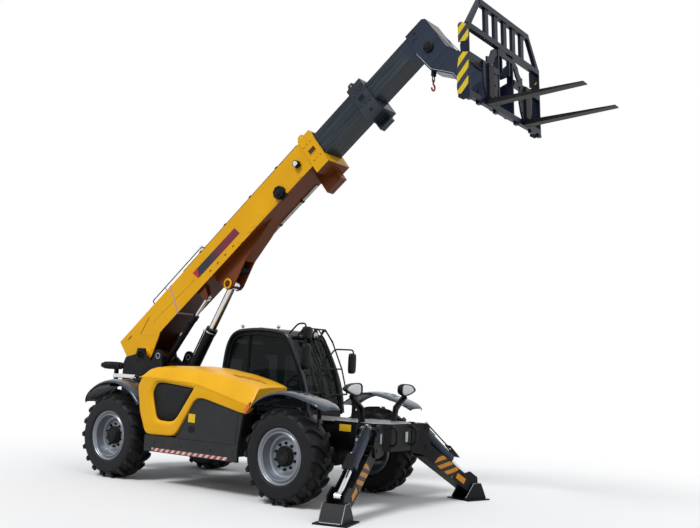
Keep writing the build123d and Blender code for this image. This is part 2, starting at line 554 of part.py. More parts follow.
end_outline = [(30, -35), (-74, -35), (-80, -300), (-115, -500), (-120, -834), (-60, -870), (30, -840)]
end_plate = plate(end_outline, (GUARD_W / 2 - 20, GUARD_W / 2)) - cross_pin(-20, -130, (0, GUARD_W), 26)
carriage = block((-30, 30), (-GUARD_W / 2 + 5, GUARD_W / 2 - 5), (-840, -770))
carriage += end_plate + mirrored(end_plate)
for low in (-GUARD_W / 2 + 5, 202):
    carriage += block((-30, 30), (low, low + GUARD_W / 2 - 207), (-385, -315))
ear_outline = [(20, -35), (20, -800), (-100, -800), (-330, -560), (-350, -500), (-330, -440), (-60, -350),
               (-60, -35)]
lug_outline = [(20, -60), (20, -300), (-110, -320), (-170, -280), (-130, -220), (-20, -160), (-20, -60)]
for low in (178, 90):
    outline, high = (ear_outline, low + 24) if low == 178 else (lug_outline, low + 20)
    piece = plate(outline, (low, high))
    carriage += piece + mirrored(piece)
carriage += block((0, 20), (-180, 180), (-120, -60))
carriage += cross_pin(*TILT_PIN, (-215, 215), 35)
nodes["fork_carriage"] = carriage_frame * carriage

TINE_W = 120
TINE_TOP = ((110, -775), (61 + TINE_L, -800))
tine_side = [(31, -345), (31, -835), (90, -835), (61 + TINE_L, -812), TINE_TOP[1], TINE_TOP[0], (76, -745),
             (76, -345)]


def tine_top(x):
    """Height of the tine's upper face in the carriage's frame."""
    (x0, z0), (x1, z1) = TINE_TOP
    return z0 + (z1 - z0) * (x - x0) / (x1 - x0)


tines = []
for y in (-TINE_GAP / 2, TINE_GAP / 2):
    tines.append(carriage_frame * plate(tine_side, (y - TINE_W / 2, y + TINE_W / 2)))
nodes["forks"] = Compound(tines)

# ---- stabilisers ----------------------------------------------------------------------------------
leg_angle = math.degrees(math.atan2(STAB_FOOT[1], STAB_FOOT[0]))
leg_length = math.hypot(*STAB_FOOT)
leg_frame = stab_frame * Location((0, 0, 0), (leg_angle, 0, 0))
side_outline = [(-75, -75), (60, -110), (leg_length - 60, -110), (leg_length + 45, -40),
                (leg_length + 45, 40), (leg_length - 20, 130), (900, 130), (820, 60), (60, 75), (-75, 75)]
leg = None
for low in (-LEG_HALF, LEG_HALF - 15):
    side = crosswise(side_outline, (low, low + 15))
    leg = side if leg is None else leg + side
leg += block((10 - LEG_HALF, LEG_HALF - 10), (60, leg_length - 60), (-110, -95))
leg += rod((-LEG_HALF, 0, 0), (LEG_HALF, 0, 0), 60)
leg -= rod((-200, 0, 0), (200, 0, 0), 26.6)
for low in (-LEG_HALF, LEG_HALF - 15):
    leg += rod((low, leg_length, 0), (low + 15, leg_length, 0), 40)
leg += rod((5 - LEG_HALF, leg_length, 0), (LEG_HALF - 5, leg_length, 0), 24)
leg = leg_frame * leg

stab_ram = ram(STAB_EYE, STAB_PIN, 0, 690, (68, 34), 460, (56, 40))
quarter = Location((0, 0, 0), (0, 0, 90))               # turns the ram's x-z plane to y-z
stab_barrel, stab_rod = [stab_frame * quarter * piece for piece in stab_ram]

foot_z = STAB_HINGE[2] + STAB_FOOT[1]
shoe = block((-200, 200), (-210, 200), (-foot_z, -foot_z + 16))
shoe_side = [(-190, -foot_z + 10), (-190, -foot_z + 40), (-50, 45), (90, 45), (190, -foot_z + 24),
             (190, -foot_z + 10)]
for low in (-EAR_OUT, EAR_OUT - 20):
    shoe += crosswise(shoe_side, (low, low + 20))
shoe += crosswise([(192, -foot_z + 10), (178, -foot_z + 10), (78, 45), (92, 45)],
                  (10 - EAR_OUT, EAR_OUT - 10))
for low in (-EAR_OUT, LEG_HALF + 2):
    shoe += rod((low, 0, 0), (low + EAR_OUT - LEG_HALF - 2, 0, 0), 26)
shoe = stab_frame * Pos(0, STAB_FOOT[0], STAB_FOOT[1]) * shoe
for name, piece in (("leg", leg), ("barrel", stab_barrel), ("rod", stab_rod), ("pad", shoe)):
    nodes[f"stabiliser_{name}_left"] = piece
    nodes[f"stabiliser_{name}_right"] = mirrored(piece)

# ---- move to the origin and write ------------------------------------------------------------------
whole = Compound([solid for piece in nodes.values() for solid in piece.solids()]).bounding_box()
ORIGIN_X = (whole.min.X + whole.max.X) / 2
if __name__ == "__main__":
    os.makedirs("parts", exist_ok=True)
    for name, solid in nodes.items():
        solids = (Pos(-ORIGIN_X, 0, 0) * solid).solids()
        export_step(Compound(solids) if len(solids) > 1 else solids[0], f"parts/{name}.step")
        print(name, len(solids))
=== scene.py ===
import json
import math

import bmesh
import bpy
import numpy as np
from mathutils import Matrix, Vector

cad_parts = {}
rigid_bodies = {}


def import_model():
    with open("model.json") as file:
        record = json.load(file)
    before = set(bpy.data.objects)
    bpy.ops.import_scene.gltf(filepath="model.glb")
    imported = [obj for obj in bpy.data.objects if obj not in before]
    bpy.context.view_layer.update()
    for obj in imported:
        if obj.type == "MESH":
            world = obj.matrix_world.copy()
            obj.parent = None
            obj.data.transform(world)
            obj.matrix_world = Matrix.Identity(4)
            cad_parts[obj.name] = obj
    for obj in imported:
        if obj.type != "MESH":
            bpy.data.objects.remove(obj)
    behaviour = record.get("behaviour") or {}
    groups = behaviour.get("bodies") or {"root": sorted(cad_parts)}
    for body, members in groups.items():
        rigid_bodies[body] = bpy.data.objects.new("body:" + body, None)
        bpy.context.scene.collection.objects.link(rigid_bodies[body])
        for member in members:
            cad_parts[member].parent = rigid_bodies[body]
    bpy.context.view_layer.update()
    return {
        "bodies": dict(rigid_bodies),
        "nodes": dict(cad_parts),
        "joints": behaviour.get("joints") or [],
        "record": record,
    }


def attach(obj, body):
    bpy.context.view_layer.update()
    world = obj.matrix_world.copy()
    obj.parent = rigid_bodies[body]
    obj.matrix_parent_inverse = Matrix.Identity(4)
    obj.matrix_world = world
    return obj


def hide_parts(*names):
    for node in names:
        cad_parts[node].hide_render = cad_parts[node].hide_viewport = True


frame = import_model()
joints = {joint["name"]: joint for joint in frame["joints"]}

# ---- where things are ----------------------------------------------------------------------------
# Metres, +X forward, +Y to the machine's left, +Z up. Lengths along the machine are given
# from the point midway between the axles, as on a drawing of such a machine.
wheel_centre = {name[6:-5]: np.array(joint["pos_m"]) for name, joint in joints.items() if name.startswith("wheel_")}
AXLE_MID = float(np.mean([centre[0] for centre in wheel_centre.values()]))


def at(x, y, z):
    """Points given from midway between the axles, in the row's frame."""
    x, y, z = np.broadcast_arrays(np.asarray(x, float), np.asarray(y, float), np.asarray(z, float))
    return np.stack([x + AXLE_MID, y, z], axis=-1)


# ---- camera and light ----------------------------------------------------------------------------
# A wide soft sun, a weaker one from ahead and an even sky. Cameras, mirrors and glass see a
# white surrounding instead of that sky.
CAMERA_AT = at(8.712, -9.556, 1.693)
CAMERA_TURN, CAMERA_PITCH, CAMERA_ROLL = 0.634, 0.1146, 0.0462
FOCAL_MM = 46.15

look = np.array([-math.sin(CAMERA_TURN) * math.cos(CAMERA_PITCH),
                 math.cos(CAMERA_TURN) * math.cos(CAMERA_PITCH), math.sin(CAMERA_PITCH)])
level = np.array([math.cos(CAMERA_TURN), math.sin(CAMERA_TURN), 0.0])
upward = np.cross(level, look)
right = math.cos(CAMERA_ROLL) * level + math.sin(CAMERA_ROLL) * upward
upward = -math.sin(CAMERA_ROLL) * level + math.cos(CAMERA_ROLL) * upward
camera = bpy.data.objects.new("camera", bpy.data.cameras.new("camera"))
camera.data.lens = FOCAL_MM
camera.data.clip_end = 200
matrix = np.eye(4)
matrix[:3, 0], matrix[:3, 1], matrix[:3, 2], matrix[:3, 3] = right, upward, -look, CAMERA_AT
camera.matrix_world = Matrix(matrix.tolist())
bpy.context.scene.collection.objects.link(camera)
bpy.context.scene.camera = camera
bpy.context.scene.view_settings.view_transform = "Standard"


def sun(name, towards, strength, size_deg):
    """A distant lamp that shines along a direction."""
    lamp = bpy.data.objects.new(name, bpy.data.lights.new(name, "SUN"))
    lamp.data.energy = strength
    lamp.data.angle = math.radians(size_deg)
    lamp.rotation_mode = "QUATERNION"
    lamp.rotation_quaternion = Vector((0, 0, -1)).rotation_difference(Vector(towards))
    bpy.context.scene.collection.objects.link(lamp)


sun("key", (0.10, 1.0, -1.15), 2.1, 18)
sun("fill", (-1.0, 0.15, -0.55), 0.55, 40)

world = bpy.data.worlds.new("surroundings")
bpy.context.scene.world = world
world.use_nodes = True
sky = world.node_tree
sky.nodes.clear()
out = sky.nodes.new("ShaderNodeOutputWorld")
plain, white = sky.nodes.new("ShaderNodeBackground"), sky.nodes.new("ShaderNodeBackground")
plain.inputs["Color"].default_value = (0.93, 0.96, 1.0, 1)
plain.inputs["Strength"].default_value = 0.5
choose, rays = sky.nodes.new("ShaderNodeMixShader"), sky.nodes.new("ShaderNodeLightPath")
or_glossy, or_through = sky.nodes.new("ShaderNodeMath"), sky.nodes.new("ShaderNodeMath")
for adder in (or_glossy, or_through):
    adder.operation = "ADD"
    adder.use_clamp = True
sky.links.new(rays.outputs["Is Camera Ray"], or_glossy.inputs[0])
sky.links.new(rays.outputs["Is Glossy Ray"], or_glossy.inputs[1])
sky.links.new(or_glossy.outputs[0], or_through.inputs[0])
sky.links.new(rays.outputs["Is Transmission Ray"], or_through.inputs[1])
sky.links.new(or_through.outputs[0], choose.inputs["Fac"])
sky.links.new(plain.outputs[0], choose.inputs[1])
sky.links.new(white.outputs[0], choose.inputs[2])
sky.links.new(choose.outputs[0], out.inputs["Surface"])
white.inputs["Color"].default_value = (1, 1, 1, 1)


# ---- painted plates and castings -----------------------------------------------------------------
# Welded steel plate under sprayed machine paint, black where nothing else is said. Axles,
# knuckles and the counterweight are iron castings with a rougher coat.
class Wire:
    """A value on its way through a finish; arithmetic on it adds Math nodes."""

    def __init__(self, finish, socket):
        self.finish, self.socket = finish, socket

    def _maths(self, operation, *others):
        node = self.finish.tree.nodes.new("ShaderNodeMath")
        node.operation = operation
        for slot, value in zip(node.inputs, others):
            self.finish.feed(slot, value)
        return Wire(self.finish, node.outputs[0])

    def __add__(self, other):
        return self._maths("ADD", self, other)

    def __sub__(self, other):
        return self._maths("SUBTRACT", self, other)

    def __rsub__(self, other):
        return self._maths("SUBTRACT", other, self)

    def __mul__(self, other):
        return self._maths("MULTIPLY", self, other)

    def __abs__(self):
        return self._maths("ABSOLUTE", self)

    def __gt__(self, other):
        return self._maths("GREATER_THAN", self, other)

    def __lt__(self, other):
        return self._maths("LESS_THAN", self, other)

    def part(self):
        """What is left over a whole number."""
        return self._maths("FRACT", self)

    def sharpened(self, low, high):
        """0 below low, 1 above high and a straight ramp between."""
        limits = {"Value": self, "From Min": low, "From Max": high}
        return self.finish.node("ShaderNodeMapRange", {"clamp": True}, limits)

    __radd__, __rmul__ = __add__, __mul__


class Finish:
    """One material around a Principled shader; settings and links go to its sockets by name."""

    def __init__(self, name, **fixed):
        self.material = bpy.data.materials.new(name)
        self.material.use_nodes = True
        self.tree = self.material.node_tree
        self.tree.nodes.clear()
        self.shader = self.tree.nodes.new("ShaderNodeBsdfPrincipled")
        self.surface = self.tree.nodes.new("ShaderNodeOutputMaterial").inputs["Surface"]
        self.tree.links.new(self.shader.outputs[0], self.surface)
        self.place = self.node("ShaderNodeTexCoord", out="Object")
        for key, value in fixed.items():
            self[key.replace("_", " ")] = value

    def feed(self, socket, value):
        if isinstance(value, Wire):
            self.tree.links.new(value.socket, socket)
        elif isinstance(value, tuple) and len(value) == 3 and socket.type == "RGBA":
            socket.default_value = (*value, 1)
        else:
            socket.default_value = value

    def node(self, kind, settings={}, inputs={}, out=None):
        """Any other node: its type and settings first, then the values or links of its sockets,
        which are given by name, or by number where two have the same name."""
        node = self.tree.nodes.new(kind)
        for key, value in settings.items():
            setattr(node, key, value)
        for key, value in inputs.items():
            by_name = (slot for slot in node.inputs if slot.name == key and slot.enabled)
            self.feed(node.inputs[key] if isinstance(key, int) else next(by_name), value)
        if out:
            return Wire(self, node.outputs[out])
        return Wire(self, next(slot for slot in node.outputs if slot.enabled))

    def __setitem__(self, key, value):
        self.feed(self.shader.inputs[key], value)

    def noise(self, scale, detail=3.0, rough=0.5, stretch=None):
        """Cloudy pattern of about 1/scale metres; stretch makes it longer along an axis."""
        where = self.place
        if stretch:
            where = self.node("ShaderNodeMapping", {}, {"Vector": where, "Scale": stretch})
        values = {"Vector": where, "Scale": scale, "Detail": detail, "Roughness": rough}
        return self.node("ShaderNodeTexNoise", {}, values, "Fac")

    def mixed(self, mask, low, high):
        """Colour low where the mask is 0 and high where it is 1."""
        return self.node("ShaderNodeMix", {"data_type": "RGBA"}, {"Factor": mask, "A": low, "B": high})

    def bump(self, height, strength, distance):
        """Small relief that only turns the normal."""
        relief = {"Height": height, "Strength": strength, "Distance": distance}
        self["Normal"] = self.node("ShaderNodeBump", {}, relief)

    def axis(self, direction):
        """Distance along a direction."""
        return self.node("ShaderNodeVectorMath", {"operation": "DOT_PRODUCT"}, {0: self.place, 1: direction}, "Value")


def shade(colour, factor):
    """The same colour, lighter or darker."""
    return tuple(min(1.0, c * factor) for c in colour)


def paint(name, colour, rough, coat=0.0, dust=0.06, grain=260, gloss=0.3):
    """Machine paint: slow clouds of tone, dust in patches, faint orange peel."""
    finish = Finish(name, Coat_Roughness=0.06, Coat_Weight=coat, Specular_IOR_Level=gloss)
    cloud = finish.noise(2.2, 4)
    fine = finish.noise(38, 3)
    dusty = finish.noise(6, 5, 0.6).sharpened(0.52, 0.78) * dust
    tone = finish.mixed(cloud.sharpened(0.3, 0.7), shade(colour, 0.92), shade(colour, 1.06))
    finish["Base Color"] = finish.mixed(dusty, tone, (0.35, 0.32, 0.28))
    finish["Roughness"] = (fine - 0.5) * 0.10 + rough + dusty
    finish.bump(finish.noise(grain, 2), 0.05, 0.001)
    return finish.material


YELLOW = (0.80, 0.405, 0.004)
BLACK = (0.005, 0.0055, 0.0065)
SLATE = (0.024, 0.034, 0.056)
yellow = paint("yellow paint", YELLOW, 0.36, 0.06, 0.04, 260, 0.16)
black = paint("black paint", BLACK, 0.42, 0.0, 0.03, 260, 0.14)
slate = paint("slate paint", SLATE, 0.32, 0.08, 0.05, 260, 0.2)
cast_black = paint("black casting", (0.0055, 0.0055, 0.006), 0.55, 0.0, 0.06, 120, 0.14)
grey_panel = paint("dark grey panel", (0.024, 0.025, 0.027), 0.45, 0.0, 0.03, 260, 0.18)

for node in frame["nodes"].values():
    node.data.materials.clear()
    node.data.materials.append(black)


def coat(finish, *names):
    """Gives CAD nodes another finish."""
    for name in names:
        frame["nodes"][name].data.materials[0] = finish


coat(slate, "stabiliser_barrel_left", "stabiliser_barrel_right")
coat(cast_black, "counterweight", "axles", "engine_block", "knuckle_front_left", "knuckle_front_right",
     "knuckle_rear_left", "knuckle_rear_right", "rear_receiver")
coat(grey_panel, "side_skirt")

# ---- bright rods and exhaust ---------------------------------------------------------------------
# Ground steel bars, hard chromed and polished along their length, and an exhaust of the
# same bright look. The rods slide in their barrels' glands.
chrome = Finish("chromed rod", Metallic=1.0)
streak = chrome.noise(60, 3, 0.5, (1, 1, 0.06))
chrome["Base Color"] = chrome.mixed(streak, (0.60, 0.62, 0.64), (0.78, 0.79, 0.80))
chrome["Roughness"] = streak * 0.12 + 0.12
coat(chrome.material, "lift_rod", "levelling_rod", "tilt_rod", "stabiliser_rod_left", "stabiliser_rod_right", "exhaust")

# ---- panes ---------------------------------------------------------------------------------------
# Dark tinted safety glass, bonded into the cab's frame and into its door. The inside is just
# seen through it.
glass = Finish("tinted glass", Roughness=0.03, Specular_IOR_Level=0.12)
smoke = glass.noise(1.5, 2)
glass["Base Color"] = glass.mixed(smoke, (0.006, 0.009, 0.009), (0.010, 0.015, 0.015))
glass["Alpha"] = smoke * 0.06 + 0.66
coat(glass.material, "cab_glass", "door_glass")

# ---- tyres ---------------------------------------------------------------------------------------
# Moulded rubber, 1.17 m over the lugs and 0.405 m wide. Each side has 18 bars that start
# at the middle of the tread, lean back and end as blocks on the shoulder.
TYRE_R, TYRE_HALF = 0.585, 0.2025
BEAD_R, BORE_R, BORE_HALF = 0.328, 0.308, 0.158
TREAD_R, LUG_BASE = 0.550, 0.540
LUGS = 18


class Piece:
    """Grids and rings of points that become one mesh and ride on a body."""

    def __init__(self):
        self.points, self.faces, self.count = [], [], 0

    def _keep(self, points, faces):
        self.points.append(points.reshape(-1, 3))
        self.faces += (faces + self.count).tolist()
        self.count += self.points[-1].shape[0]

    def grid(self, points, loop_rows=False, loop_columns=False):
        """Surface of two parameters: points[..., row, column], each quad joining neighbours."""
        points = points.reshape(-1, *points.shape[-3:])
        copies, rows, columns = points.shape[:3]
        i = np.arange(rows if loop_rows else rows - 1)[:, None]
        j = np.arange(columns if loop_columns else columns - 1)[None, :]
        after_i, after_j = (i + 1) % rows, (j + 1) % columns
        quads = np.stack(np.broadcast_arrays(i * columns + j, after_i * columns + j, after_i * columns + after_j,
                                             i * columns + after_j), -1).reshape(1, -1, 4)
        start = (np.arange(copies) * rows * columns)[:, None, None]
        self._keep(points, (quads + start).reshape(-1, 4))

    def lid(self, ring):
        """One flat face over a ring of points; ring[..., point]."""
        rings = ring.reshape(-1, *ring.shape[-2:])
        self._keep(rings, np.arange(rings.shape[0] * rings.shape[1]).reshape(rings.shape[:2]))

    def slab(self, outline, low, high, frame, across="y"):
        """Plate: an outline of points between two values of y, or across x or z where that is said."""
        flat = np.array(outline, float)
        edge = np.stack([flat, flat])
        depth = np.array([low, high], float)[:, None]
        places = {"x": (depth, edge[..., 0], edge[..., 1]), "y": (edge[..., 0], depth, edge[..., 1]),
                  "z": (edge[..., 0], edge[..., 1], depth)}
        rings = frame(*places[across])
        self.grid(rings, loop_columns=True)
        self.lid(rings)

    def block(self, x, y, z, frame):
        """Plain bar between low and high values along each axis."""
        self.slab([(x[0], z[0]), (x[1], z[0]), (x[1], z[1]), (x[0], z[1])], y[0], y[1], frame)

    def turned(self, profile, centre, axis, count=48, closed=False, lids=True):
        """Wheel-like surface: (radius, distance along the axis) points carried round the axis."""
        profile = np.array(profile, float)
        axis = np.array(axis, float) / np.linalg.norm(axis)
        side = np.cross(axis, (0.0, 0.0, 1.0) if abs(axis[2]) < 0.9 else (1.0, 0.0, 0.0))
        side /= np.linalg.norm(side)
        angle = np.linspace(0, 2 * math.pi, count, endpoint=False)[:, None, None]
        way = np.cos(angle) * side + np.sin(angle) * np.cross(axis, side)
        rings = np.array(centre, float) + profile[None, :, :1] * way + profile[None, :, 1:] * axis
        self.grid(rings, loop_rows=True, loop_columns=closed)
        if lids and not closed:
            for end in (0, -1):
                if profile[end, 0] > 1e-6:
                    self.lid(rings[:, end])

    def tube(self, path, radius, sides=10):
        """Round bar: a circle carried along a path without twisting."""
        path = np.array(path, float)
        along = np.gradient(path, axis=0)
        along /= np.linalg.norm(along, axis=1, keepdims=True)
        side = np.cross(along[0], (0, 0, 1) if abs(along[0][2]) < 0.9 else (1, 0, 0))
        sides_list = []
        for way in along:                       # each ring's side is the last one, kept square to the path
            side = side - way * side.dot(way)
            side /= np.linalg.norm(side)
            sides_list.append(side)
        side = np.array(sides_list)
        angle = np.linspace(0, 2 * math.pi, sides, endpoint=False)[None, :, None]
        up = np.cross(along, side)
        rings = path[:, None] + radius * (np.cos(angle) * side[:, None] + np.sin(angle) * up[:, None])
        self.grid(rings, loop_columns=True)
        self.lid(rings[[0, -1]])

    def done(self, name, body, slot, finish, replaces=(), smooth=35, bevel=0.0):
        """Joins the patches, turns faces outwards, gives the finish and rides on the body."""
        mesh = bpy.data.meshes.new(name)
        mesh.from_pydata(np.concatenate(self.points).tolist(), [], self.faces)
        work = bmesh.new()
        work.from_mesh(mesh)
        bmesh.ops.remove_doubles(work, verts=work.verts, dist=1e-6)
        bmesh.ops.recalc_face_normals(work, faces=work.faces)
        work.to_mesh(mesh)
        work.free()
        mesh.shade_smooth()
        mesh.set_sharp_from_angle(angle=math.radians(smooth))
        made = bpy.data.objects.new(name, mesh)
        bpy.context.scene.collection.objects.link(made)
        mesh.materials.append(finish)
        if bevel:
            edge = made.modifiers.new("eased edges", "BEVEL")
            edge.width, edge.segments, edge.limit_method = bevel, 2, "ANGLE"
            edge.angle_limit = math.radians(smooth)
            edge.harden_normals = True
        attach(made, body)
        if replaces:
            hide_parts(*replaces)
        return made


rubber = Finish("tyre rubber", Specular_IOR_Level=0.18)
haze = rubber.noise(5, 4, 0.6)
grime = rubber.noise(40, 3)
rubber["Base Color"] = rubber.mixed(haze, (0.0045, 0.005, 0.006), (0.013, 0.0135, 0.015))
rubber["Roughness"] = haze * 0.2 + 0.42
rubber.bump(grime, 0.2, 0.003)


def tyre_section():
    """Half width at each radius: a superellipse, flatter over the tread, with two raised lines on the sidewall,
    each a narrow bell curve of the radius."""
    t = np.concatenate([np.linspace(-0.97, 0.6, 26), 0.6 + 0.4 * np.sin(np.linspace(0.05, math.pi / 2, 16))])
    middle, half = (TREAD_R + BEAD_R) / 2, (TREAD_R - BEAD_R) / 2
    power = np.where(t < 0, 6.0, 3.4)
    width = TYRE_HALF * (1 - np.abs(t) ** power) ** (1 / power)
    radius = middle + half * t
    for line_r, height in ((0.500, 0.003), (0.372, 0.002)):
        width = width + height * np.exp(-((radius - line_r) / 0.003) ** 2)
    return radius, np.minimum(width, TYRE_HALF - 0.0005)


radius, width = tyre_section()
carcass = np.concatenate([np.stack([radius, width], -1), np.stack([radius[::-1], -width[::-1]], -1)])
carcass = np.concatenate([[(BORE_R, BORE_HALF)], carcass, [(BORE_R, -BORE_HALF)]])


def lug_points(side):
    """Lugs of one side: rows run from the tread's middle to the shoulder, columns over the bar's four edges.
    A bar's angle grows as 1 - (1 - t)^1.6, and its top falls away past the shoulder."""
    t = np.array([0, 0.02, 0.2, 0.4, 0.6, 0.74, 0.86, 0.97, 1.0])[None, :, None]
    first = (np.arange(LUGS) + (0.9 if side > 0 else 0.4))[:, None, None] * 2 * math.pi / LUGS
    across = side * np.interp(t, [0, 0.97, 1], [-0.012, 0.197, 0.2015])
    lean = 0.25 * (1 - (1 - t) ** 1.6)
    top = np.interp(t, [0, 0.02, 0.68, 0.97, 1], [LUG_BASE, TYRE_R, TYRE_R, 0.556, 0.512])
    floor_r = np.interp(t, [0, 0.74, 0.97, 1], [LUG_BASE, LUG_BASE, 0.515, 0.505])
    edges = np.array([-1.0, -0.62, 0.62, 1.0])[None, None, :]
    half = np.interp(t, [0, 0.3, 0.8, 1], [0.030, 0.036, 0.044, 0.042])
    is_top = np.array([0.0, 1.0, 1.0, 0.0])[None, None, :]
    r = is_top * top + (1 - is_top) * np.minimum(floor_r, top)
    angle = first + lean + edges * half / TYRE_R
    across = across + 0 * angle
    return np.stack(np.broadcast_arrays(r * np.cos(angle), across, r * np.sin(angle)), -1)


# ---- rims and hubs -------------------------------------------------------------------------------
# Pressed and welded steel, silver grey: flange, locking ring, deep dish and disc. A black
# planetary hub stands in the middle, held by ten nuts.
rim_paint = Finish("silver wheel paint", Metallic=0.5, Coat_Weight=0.2, Coat_Roughness=0.1)
cloud = rim_paint.noise(7, 4)
rim_paint["Base Color"] = rim_paint.mixed(cloud, (0.17, 0.19, 0.22), (0.27, 0.29, 0.32))
rim_paint["Roughness"] = cloud * 0.16 + 0.26
rim_section = [(0.322, 0.140), (0.338, 0.152), (0.3455, 0.166), (0.3455, 0.176), (0.340, 0.182), (0.332, 0.183),
               (0.325, 0.178), (0.3185, 0.166), (0.313, 0.158), (0.306, 0.156), (0.300, 0.160), (0.296, 0.167),
               (0.289, 0.170), (0.281, 0.167), (0.276, 0.156), (0.274, 0.120), (0.270, 0.075), (0.262, 0.052),
               (0.245, 0.042), (0.225, 0.041), (0.205, 0.050), (0.192, 0.056), (0.120, 0.056), (0.120, 0.005),
               (0.200, 0.002), (0.260, -0.010), (0.278, -0.030), (0.282, -0.120), (0.296, -0.180), (0.330, -0.195),
               (0.3455, -0.180), (0.338, -0.155), (0.322, -0.140)]
hub_section = [(0.121, 0.02), (0.126, 0.060), (0.126, 0.088), (0.120, 0.096), (0.104, 0.100), (0.100, 0.118),
               (0.092, 0.127), (0.060, 0.129), (0.056, 0.1345), (0.0, 0.1345)]
NUTS, NUT_RING, CAP_RING = 10, 0.158, 0.110

for wheel, centre in wheel_centre.items():
    outward = 1.0 if centre[1] > 0 else -1.0
    body = f"wheel_{wheel}"
    tyre = Piece()
    tyre.turned(carcass * (1, outward), centre, (0, 1, 0), 120, lids=False)
    for side in (1, -1):
        tyre.grid(centre + lug_points(side))
    tyre.done(f"treaded_tyre_{wheel}", body, "rubber", rubber.material, [f"tyre_{wheel}"], 50)
    rim = Piece()
    rim.turned(np.array(rim_section) * (1, outward), centre, (0, 1, 0), 96, closed=True)
    rim.done(f"dished_rim_{wheel}", body, "rim_paint", rim_paint.material, [f"rim_{wheel}"], 40)
    hub = Piece()
    hub.turned(np.array(hub_section) * (1, outward), centre, (0, 1, 0), 40)
    for turn in range(NUTS):
        a = 2 * math.pi * (turn + 0.5) / NUTS
        foot = centre + (NUT_RING * math.cos(a), 0.056 * outward, NUT_RING * math.sin(a))
        hub.turned([(0.021, 0), (0.021, 0.004), (0.0155, 0.004), (0.0155, 0.020), (0.0125, 0.023)], foot,
                   (0, outward, 0), 6)
        hub.turned([(0.0085, 0.02), (0.0085, 0.034), (0.006, 0.037)], foot, (0, outward, 0), 10)
        cap = centre + (CAP_RING * math.cos(a), 0.098 * outward, CAP_RING * math.sin(a))
        hub.turned([(0.007, 0), (0.007, 0.008), (0.005, 0.010)], cap, (0, outward, 0), 6)
    hub.done(f"planetary_hub_{wheel}", body, "cast", cast_black)

# ---- fenders -------------------------------------------------------------------------------------
# Moulded slate-blue plastic, crowned across the wheel, with a rolled edge. The front ones
# run on into a drooping nose with three slots behind it. Steel stays hold them to the frame.
CROWN_R, CROWN_DROP, CROWN_POWER = 0.788, 0.030, 3.2
FENDER_MID, FENDER_HALF = 0.9425, 0.2075
STAY_TOP = 1.361
fender_paint = paint("fender gloss", (0.026, 0.038, 0.062), 0.20, 0.35, 0.02, 260, 0.3)


def fender_top(front):
    """Angle about the wheel and radius of the crown: even over the wheel, further out at the nose."""
    angle = np.radians(np.linspace(42 if front else 38, 133 if front else 146, 46))
    extra = np.interp(np.degrees(angle), [40, 46, 52, 58, 64, 72, 82], [0.105, 0.095, 0.07, 0.045, 0.02, 0.005, 0])
    return angle, CROWN_R + (extra if front else 0 * extra)


for end in ("front", "rear"):
    for side in ("left", "right"):
        centre = wheel_centre[f"{end}_{side}"]
        s = 1.0 if side == "left" else -1.0
        angle, reach = fender_top(end == "front")
        v = np.linspace(-1, 1, 21)
        ends = np.minimum(angle - angle[0], angle[-1] - angle) / 0.16
        narrow = np.sqrt(np.clip(1 - (1 - np.clip(ends, 0, 1)) ** 2 * 0.55, 0, 1))
        if end == "rear":
            narrow = np.sqrt(np.clip(1 - (1 - np.clip((angle[-1] - angle) / 0.3, 0, 1)) ** 2 * 0.6, 0, 1))
        y = FENDER_MID + np.outer(narrow, v) * FENDER_HALF
        crown = -CROWN_DROP * np.abs(v) ** CROWN_POWER - np.where(np.abs(v) > 0.97, 0.014, 0)
        r = reach[:, None] + crown[None, :]
        sheet = np.stack([centre[0] + r * np.cos(angle)[:, None], s * y, centre[2] + r * np.sin(angle)[:, None]], -1)
        fender = Piece()
        fender.grid(sheet)
        made = fender.done(f"fender_shell_{end}_{side}", "root", "fender_slate", fender_paint, ["fenders"], 60)
        wall = made.modifiers.new("wall", "SOLIDIFY")
        wall.thickness, wall.offset = 0.008, 0.0


def rounded(points, radius, steps=6):
    """Path with its corners rounded: each is a quadratic curve between points set back along the runs."""
    points = np.array(points, float)
    path = [points[0]]
    for before, corner, after in zip(points, points[1:], points[2:]):
        reach = [min(radius, 0.45 * np.linalg.norm(end - corner)) for end in (before, after)]
        start = corner + (before - corner) / np.linalg.norm(before - corner) * reach[0]
        end = corner + (after - corner) / np.linalg.norm(after - corner) * reach[1]
        t = np.linspace(0, 1, steps)[:, None]
        path += list((1 - t) ** 2 * start + 2 * t * (1 - t) * corner + t ** 2 * end)
    return np.array(path + [points[-1]])


